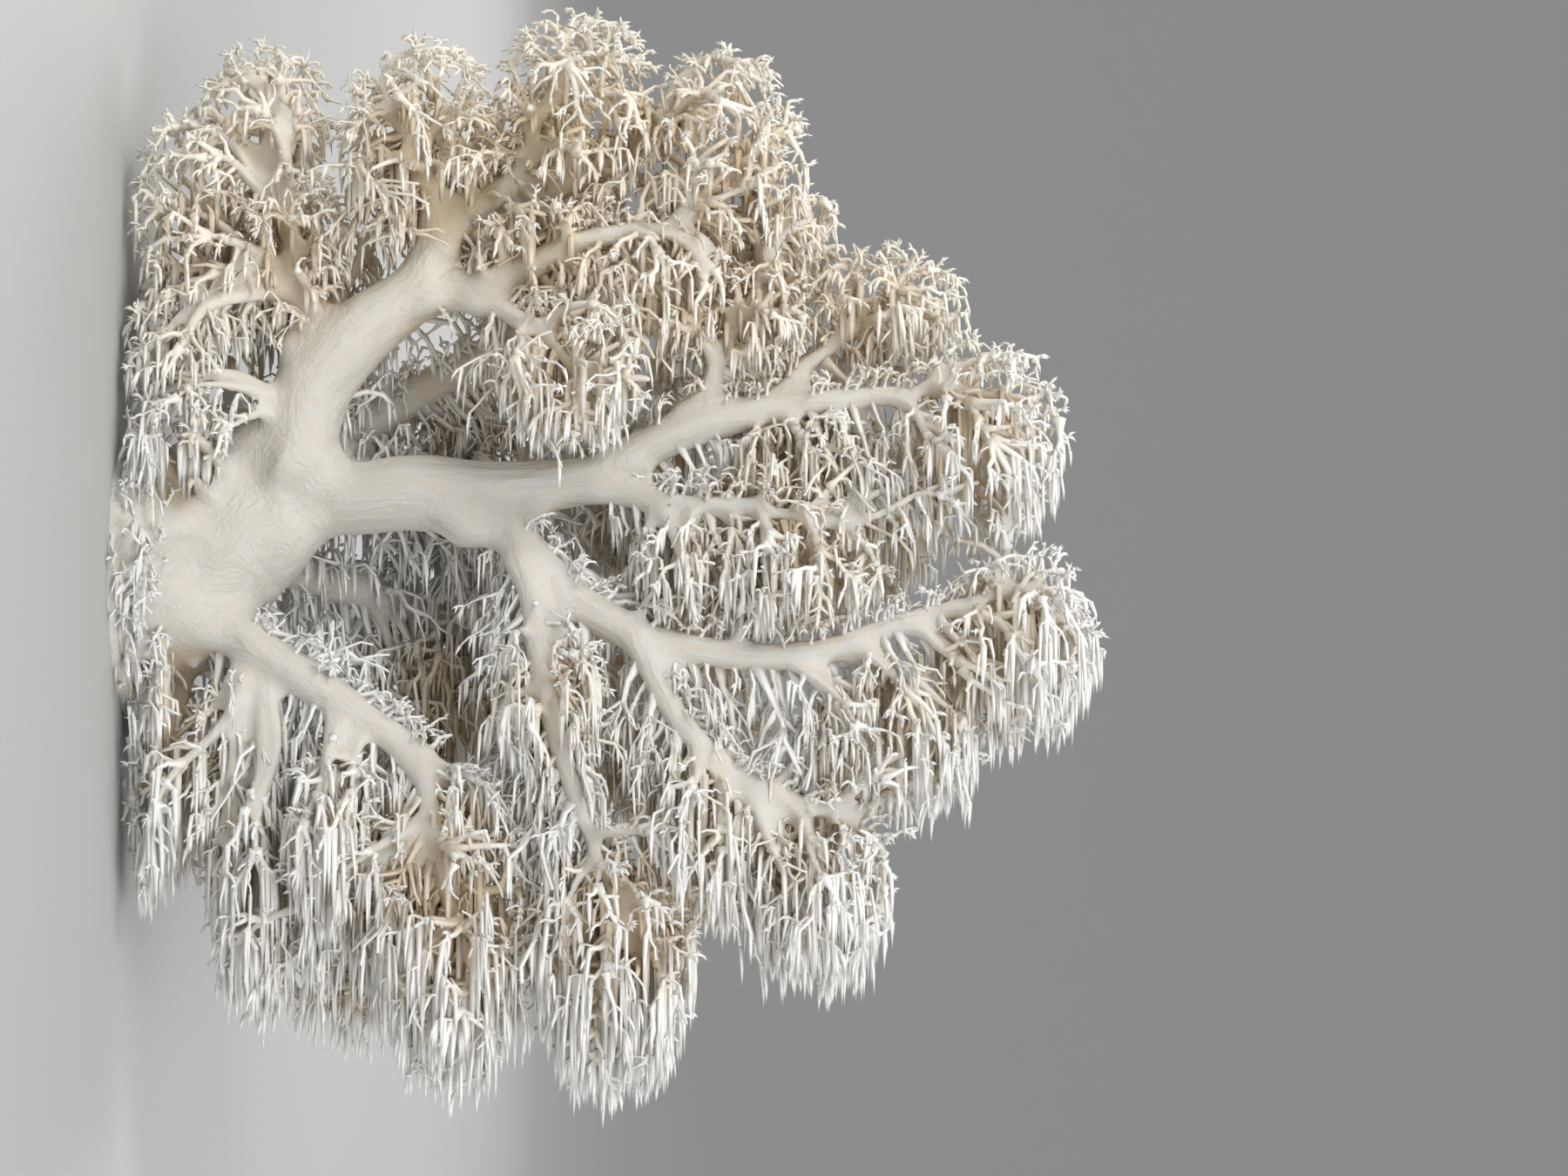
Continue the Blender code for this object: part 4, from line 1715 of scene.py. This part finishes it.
class ToneGroup:
    """The shared colouring: from the open colour to the darker, warm one of closed-in places, which is
    painted shade with warm scattered light and partly the creamier inner flesh.
    """

    NAME = "Fungus Tone"

    @classmethod
    def tree(cls) -> bpy.types.NodeTree:
        """The node group, built once.

        Returns:
            The group. It mixes the open colour towards the darker, warm one of closed-in places by how closed
            in they are, which paints shade and warm scattered light there and partly gives the creamier inner
            colour, darkens and warms it in soft patches, and lightens it towards tips.
        """
        if cls.NAME in bpy.data.node_groups:
            return bpy.data.node_groups[cls.NAME]
        tree = bpy.data.node_groups.new(cls.NAME, "ShaderNodeTree")
        face = tree.interface
        for name, kind in (("Open", "NodeSocketColor"), ("Crown", "NodeSocketColor"),
                           ("Deep", "NodeSocketColor"), ("Tip Colour", "NodeSocketColor"),
                           ("Recess", "NodeSocketFloat"), ("Tip", "NodeSocketFloat"),
                           ("Tone", "NodeSocketFloat"), ("Low", "NodeSocketFloat"),
                           ("High", "NodeSocketFloat")):
            face.new_socket(name, in_out="INPUT", socket_type=kind)
        face.new_socket("Color", in_out="OUTPUT", socket_type="NodeSocketColor")
        graph = Graph(tree)
        source = graph.node("NodeGroupInput").outputs
        place = graph.node("ShaderNodeTexCoord").outputs["Object"]
        split = graph.node("ShaderNodeSeparateXYZ")
        graph.link(place, split.inputs[0])
        patches = graph.noise(place, 42.0, 3.0, 0.55)
        swing = graph.maths("MULTIPLY", graph.maths("SUBTRACT", patches, 0.5), 0.22)
        swing = graph.maths("ADD", swing, graph.maths("MULTIPLY", source["Tone"], 0.05))
        level = graph.maths("ADD", source["Recess"], swing)
        span = graph.maths("MAXIMUM", graph.maths("SUBTRACT", source["High"], source["Low"]), 0.01)
        share = graph.maths("DIVIDE", graph.maths("SUBTRACT", level, source["Low"]), span)
        share = graph.ramp(share, 0.0, 1.0)
        crown = graph.ramp(split.outputs["X"], -0.012, -0.075)
        open_now = graph.blend(crown, source["Open"], source["Crown"])
        # Painted shade: closed-in places turn to the darker, warmer colour, partly the creamier inner flesh,
        # and their tips whiten less.
        colour_now = graph.blend(share, open_now, source["Deep"])
        kept = graph.maths("SUBTRACT", 1.0, graph.maths("MULTIPLY", share, 0.6))
        fade = graph.maths("MULTIPLY", source["Tip"], kept)
        colour_now = graph.blend(fade, colour_now, source["Tip Colour"])
        out = graph.node("NodeGroupOutput").inputs
        graph.link(colour_now, out["Color"])
        return tree

    @classmethod
    def add(cls, graph: Graph, **inputs: object) -> bpy.types.Node:
        """Adds the group to a material and feeds its inputs."""
        node = graph.node("ShaderNodeGroup", node_tree=cls.tree())
        for key, value in inputs.items():
            graph.feed(node.inputs[key.replace("_", " ")], value)
        return node


@dataclass(frozen=True)
class Finish:
    """What the finishes share.

    Attributes:
        name: The material's name.
        open_colour: The colour of open places.
        crown_colour: The warmer colour of open places on the crown.
        deep_shade_colour: The darker, warmer colour of closed-in places: painted shade with warm scattered
            light, and partly the creamier inner flesh.
        tip_colour: The colour of tips.
        low: The closed-in share at which the painted shade colour begins.
        high: The closed-in share at which it is full.
        roughness: The shader's roughness.
        scatter: How far light travels under the surface, in metres.
        share: The share of light that goes under the surface.
    """

    name: str
    open_colour: tuple[float, float, float]
    crown_colour: tuple[float, float, float]
    deep_shade_colour: tuple[float, float, float]
    tip_colour: tuple[float, float, float]
    low: float = 0.35
    high: float = 0.85
    roughness: float = 0.5
    scatter: float = 0.0012
    share: float = 0.6

    def begin(self) -> tuple[bpy.types.Material, Graph, bpy.types.Node]:
        """Makes the material with its plain values set.

        Returns:
            The material, a graph over its nodes, and its Principled shader.
        """
        material = bpy.data.materials.new(self.name)
        material.use_nodes = True
        shader = material.node_tree.nodes["Principled BSDF"]
        shader.inputs["Roughness"].default_value = self.roughness
        shader.inputs["Subsurface Weight"].default_value = self.share
        shader.inputs["Subsurface Radius"].default_value = (1.0, 0.72, 0.48)
        shader.inputs["Subsurface Scale"].default_value = self.scatter
        shader.inputs["IOR"].default_value = 1.38
        return material, Graph(material.node_tree), shader


@dataclass(frozen=True)
class FleshFinish(Finish):
    """Ivory flesh with faint fibres along the limbs."""

    def material(self) -> bpy.types.Material:
        """Builds the material."""
        material, graph, shader = self.begin()
        tone = ToneGroup.add(graph, Open=colour(*self.open_colour),
                             Crown=colour(*self.crown_colour), Deep=colour(*self.deep_shade_colour),
                             Tip_Colour=colour(*self.tip_colour), Recess=graph.attribute("recess"),
                             Tip=0.0, Tone=0.0, Low=self.low, High=self.high)
        grain = graph.attribute("grain", "Vector")
        run = graph.attribute("run")
        fibre = graph.node("ShaderNodeTexNoise", noise_dimensions="4D")
        graph.link(grain, fibre.inputs["Vector"])
        graph.link(graph.maths("MULTIPLY", run, 0.035), fibre.inputs["W"])
        fibre.inputs["Scale"].default_value = 1.3
        fibre.inputs["Detail"].default_value = 4.0
        fibre.inputs["Roughness"].default_value = 0.6
        place = graph.node("ShaderNodeTexCoord").outputs["Object"]
        grit = graph.noise(place, 900.0, 3.0, 0.6)
        streak = graph.ramp(fibre.outputs["Fac"], 0.36, 0.6, 0.30, 0.0)
        base = graph.blend(streak, tone.outputs["Color"], colour(0.66, 0.55, 0.40))
        graph.link(base, shader.inputs["Base Color"])
        swing = graph.maths("MULTIPLY", fibre.outputs["Fac"], 0.25)
        rough = graph.maths("ADD", swing, self.roughness - 0.125)
        graph.link(rough, shader.inputs["Roughness"])
        height = graph.maths("ADD", graph.maths("MULTIPLY", fibre.outputs["Fac"], 1.0),
                             graph.maths("MULTIPLY", grit, 0.18))
        bump = graph.node("ShaderNodeBump")
        bump.inputs["Strength"].default_value = 0.7
        bump.inputs["Distance"].default_value = 0.0009
        graph.link(height, bump.inputs["Height"])
        graph.link(bump.outputs["Normal"], shader.inputs["Normal"])
        return material


@dataclass(frozen=True)
class SpineFinish(Finish):
    """Thin spines and twigs, whiter at their tips."""

    def material(self) -> bpy.types.Material:
        """Builds the material."""
        material, graph, shader = self.begin()
        tone = ToneGroup.add(graph, Open=colour(*self.open_colour),
                             Crown=colour(*self.crown_colour), Deep=colour(*self.deep_shade_colour),
                             Tip_Colour=colour(*self.tip_colour), Recess=graph.attribute("recess"),
                             Tip=graph.attribute("tip"), Tone=graph.attribute("tone"),
                             Low=self.low, High=self.high)
        graph.link(tone.outputs["Color"], shader.inputs["Base Color"])
        place = graph.node("ShaderNodeTexCoord").outputs["Object"]
        grit = graph.noise(place, 1400.0, 2.0, 0.6)
        rough = graph.maths("ADD", graph.maths("MULTIPLY", grit, 0.2), self.roughness - 0.1)
        graph.link(rough, shader.inputs["Roughness"])
        bump = graph.node("ShaderNodeBump")
        bump.inputs["Strength"].default_value = 0.3
        bump.inputs["Distance"].default_value = 0.0002
        graph.link(grit, bump.inputs["Height"])
        graph.link(bump.outputs["Normal"], shader.inputs["Normal"])
        return material


# ---------------------------------------------------------------- the studio


@dataclass(frozen=True)
class Studio:
    """A pale round floor that turns up far out, soft lamps, and the main camera.

    Attributes:
        flat: The radius of the flat floor, in metres.
        bend: The radius of the turn up to the wall.
        height: The height of the wall.
        shade: The floor's grey.
        lens: The camera's focal length, in millimetres.
        stand: Where the camera stands, in metres.
        around: The strength of the even surrounding light.
    """

    flat: float = 1.5
    bend: float = 1.5
    height: float = 1.7
    shade: float = 0.5
    lens: float = 90.0
    stand: tuple[float, float, float] = (0.007, -0.9, 0.15)
    around: float = 0.5

    def build(self) -> None:
        """Builds the floor, the lamps, the world and the camera."""
        self._floor()
        self._lamps()
        self._world()
        self._camera()

    def _floor(self) -> None:
        """A surface of revolution: a flat disc, a quarter turn, then a straight wall."""
        arc = np.linspace(0, math.pi / 2, 13)
        wall = self.flat + self.bend
        radius = np.concatenate([[0.0, 0.4, 1.0], self.flat + self.bend * np.sin(arc), [wall]])
        rise = np.concatenate([[0.0, 0.0, 0.0], self.bend * (1 - np.cos(arc)), [self.height]])
        turns = 96
        angle = np.arange(turns) * (2 * math.pi / turns)
        ring = np.stack([np.cos(angle), np.sin(angle)], 1)
        rims = np.concatenate([np.concatenate([ring * r, np.full((turns, 1), z)], 1)
                               for r, z in zip(radius[1:], rise[1:])])
        vertices = np.concatenate([[[0.0, 0.0, 0.0]], rims])
        around = np.arange(turns)
        after = (around + 1) % turns
        fan = np.stack([np.zeros(turns, int), 1 + around, 1 + after], 1)
        rows = np.arange(len(radius) - 2)[:, None] * turns + 1
        quads = np.stack([rows + around, rows + turns + around, rows + turns + after, rows + after], -1)
        mesh = write_mesh("floor", vertices / MM, [fan, quads.reshape(-1, 4)])
        floor = bpy.data.objects.new("floor", mesh)
        bpy.context.scene.collection.objects.link(floor)
        material = bpy.data.materials.new("pale floor")
        material.use_nodes = True
        shader = material.node_tree.nodes["Principled BSDF"]
        shader.inputs["Base Color"].default_value = colour(self.shade, self.shade, self.shade * 0.99)
        shader.inputs["Roughness"].default_value = 0.9
        shader.inputs["Specular IOR Level"].default_value = 0.15
        mesh.materials.append(material)
        floor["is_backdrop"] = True

    def _lamps(self) -> None:
        """A soft key from above and before the fungus, and wide soft lamps before, behind and below."""
        low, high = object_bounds()
        middle = (low + high) / 2
        for name, place, size, power, tint in (
                ("key", (-0.75, -0.62, 0.62), 0.6, 6.0, (1.0, 0.99, 0.97)),
                ("fill", (0.45, -1.3, 0.9), 1.3, 13.0, (0.98, 0.99, 1.0)),
                ("rim", (-0.4, 1.1, 0.9), 0.9, 9.0, (1.0, 1.0, 1.0)),
                ("under", (1.2, 0.0, 0.7), 1.2, 4.5, (1.0, 0.99, 0.97))):
            data = bpy.data.lights.new(name, "AREA")
            data.shape = "DISK"
            data.size = size
            data.energy = power
            data.color = tint
            lamp = bpy.data.objects.new(name, data)
            lamp.location = Vector(place)
            lamp.rotation_euler = (middle - lamp.location).to_track_quat("-Z", "Y").to_euler()
            lamp.visible_camera = False
            bpy.context.scene.collection.objects.link(lamp)
            lamp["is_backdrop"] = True

    def _world(self) -> None:
        """An even pale surrounding light."""
        world = bpy.data.worlds.new("studio")
        world.use_nodes = True
        back = world.node_tree.nodes["Background"]
        back.inputs["Color"].default_value = colour(0.98, 0.99, 1.0)
        back.inputs["Strength"].default_value = self.around
        bpy.context.scene.world = world
        bpy.context.scene.view_settings.view_transform = "Standard"

    def _camera(self) -> None:
        """The main camera looks across the fungus, rolled so that OUT is to its right."""
        data = bpy.data.cameras.new("main")
        data.lens = self.lens
        data.sensor_width = 36.0
        data.dof.use_dof = False
        camera = bpy.data.objects.new("main", data)
        turn = Matrix(((0, -1, 0), (0, 0, -1), (1, 0, 0)))
        camera.matrix_world = Matrix.Translation(self.stand) @ turn.to_4x4()
        bpy.context.scene.collection.objects.link(camera)
        bpy.context.scene.camera = camera


# ---------------------------------------------------------------- the whole


@dataclass
class Fungus:
    """The whole fungus.

    Attributes:
        frame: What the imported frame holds.
        triangles: What the tufts' counts of strands are drawn from.
    """

    frame: dict
    triangles: int = 518_000

    CREAM_STARTS = ("crown", "log_top", "log_upper", "log_small", "shoulder", "raised", "fan",
                    "upper_left", "collar", "back_crown", "back_log", "back_shoulder")

    def build(self) -> None:
        """Builds and dresses every piece."""
        nodes = self.frame["nodes"]
        names = sorted(nodes)
        axes = [LimbAxis.of_node(name, nodes[name]) for name in names if not name.endswith("_tuft")]
        envelopes = [Envelope.of_node(name, nodes[name]) for name in names if name.endswith("_tuft")]
        LOG.info("%d limbs and %d tufts read", len(axes), len(envelopes))
        enclosure = Enclosure.of_tufts(envelopes)
        clearance = Clearance.of_limbs(axes)
        tufts = self._tufts(envelopes)
        leaders = [tuft.grow_leaders(axes) for tuft in tufts]
        # The flesh's third colour is its darker, warm colour of closed-in places: painted shade with warm
        # scattered light, partly the creamier inner flesh.
        flesh_finish = FleshFinish("flesh", (0.67, 0.65, 0.61), (0.75, 0.72, 0.65), (0.62, 0.51, 0.36),
                                   (0.9, 0.88, 0.84))
        warm, cool = (0.93, 0.88, 0.78), (0.91, 0.90, 0.87)
        # The first colour below is the strands' darker, warm colour of closed-in places: painted shade with
        # warm scattered light, partly their creamier inner colour.
        deep_shade, tips = (0.78, 0.64, 0.45), (0.95, 0.94, 0.92)
        cream = SpineFinish("cream spines", cool, warm, deep_shade, tips, low=0.34, high=0.94, roughness=0.45,
                            share=0.0).material()
        white = SpineFinish("white spines", cool, warm, deep_shade, tips, low=0.34, high=0.94, roughness=0.42,
                            share=0.0).material()
        total = 0
        for tuft in tufts:
            tuft.grow(clearance)
            piece = build_strands("spray." + tuft.name, tuft.groups, enclosure, 0.5)
            slot = self.slot_of(tuft.name)
            piece.data.materials.append(cream if slot is Slot.CREAM else white)
            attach(piece, BODY)
            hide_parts(tuft.name)
            total += tuft.triangles()
            LOG.info("%s: %d triangles", tuft.name, tuft.triangles())
        LOG.info("strands: %d triangles", total)
        sprays = Sprays(axes, tufts).grow(clearance)
        for name, part in (("upper", -1), ("lower", 1)):
            groups = [one.keep(one.points[:, 0, 0] * part > 0) for one in sprays]
            piece = build_strands(f"sprays.{name}", groups, enclosure, 0.5)
            piece.data.materials.append(cream if part < 0 else white)
            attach(piece, BODY)
            count = sum(one.triangles() for one in groups)
            total += count
            LOG.info("%s sprays: %d triangles", name, count)
        LOG.info("all strands: %d triangles", total)
        flesh = Flesh(axes, leaders).build(enclosure)
        flesh.data.materials.append(flesh_finish.material())
        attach(flesh, BODY)
        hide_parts(*[axis.name for axis in axes])
        LOG.info("flesh: %d faces", len(flesh.data.polygons))

    def _tufts(self, envelopes: list[Envelope]) -> list[Tuft]:
        """Shares the triangles among the tufts by the size of their surface."""
        areas = np.array([math.pi * 4 * (np.prod(one.half) ** (2 / 3)) for one in envelopes])
        weights = areas * np.array([0.7 if one.name.startswith("back") else 1.0 for one in envelopes])
        shares = self.triangles * weights / weights.sum()
        return [Tuft(one, Growth.within(share, float(one.half.mean())))
                for one, share in zip(envelopes, shares)]

    def slot_of(self, name: str) -> Slot:
        """The slot of a tuft: cream on the crown and along the log's upper part, white elsewhere."""
        return Slot.CREAM if name.startswith(self.CREAM_STARTS) else Slot.WHITE


def main() -> None:
    """Loads the frame, builds the fungus and the studio, and reports each piece."""
    logging.basicConfig(level=logging.INFO, format="%(message)s")
    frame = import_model()
    Fungus(frame).build()
    Studio().build()


if __name__ == "__main__":
    main()
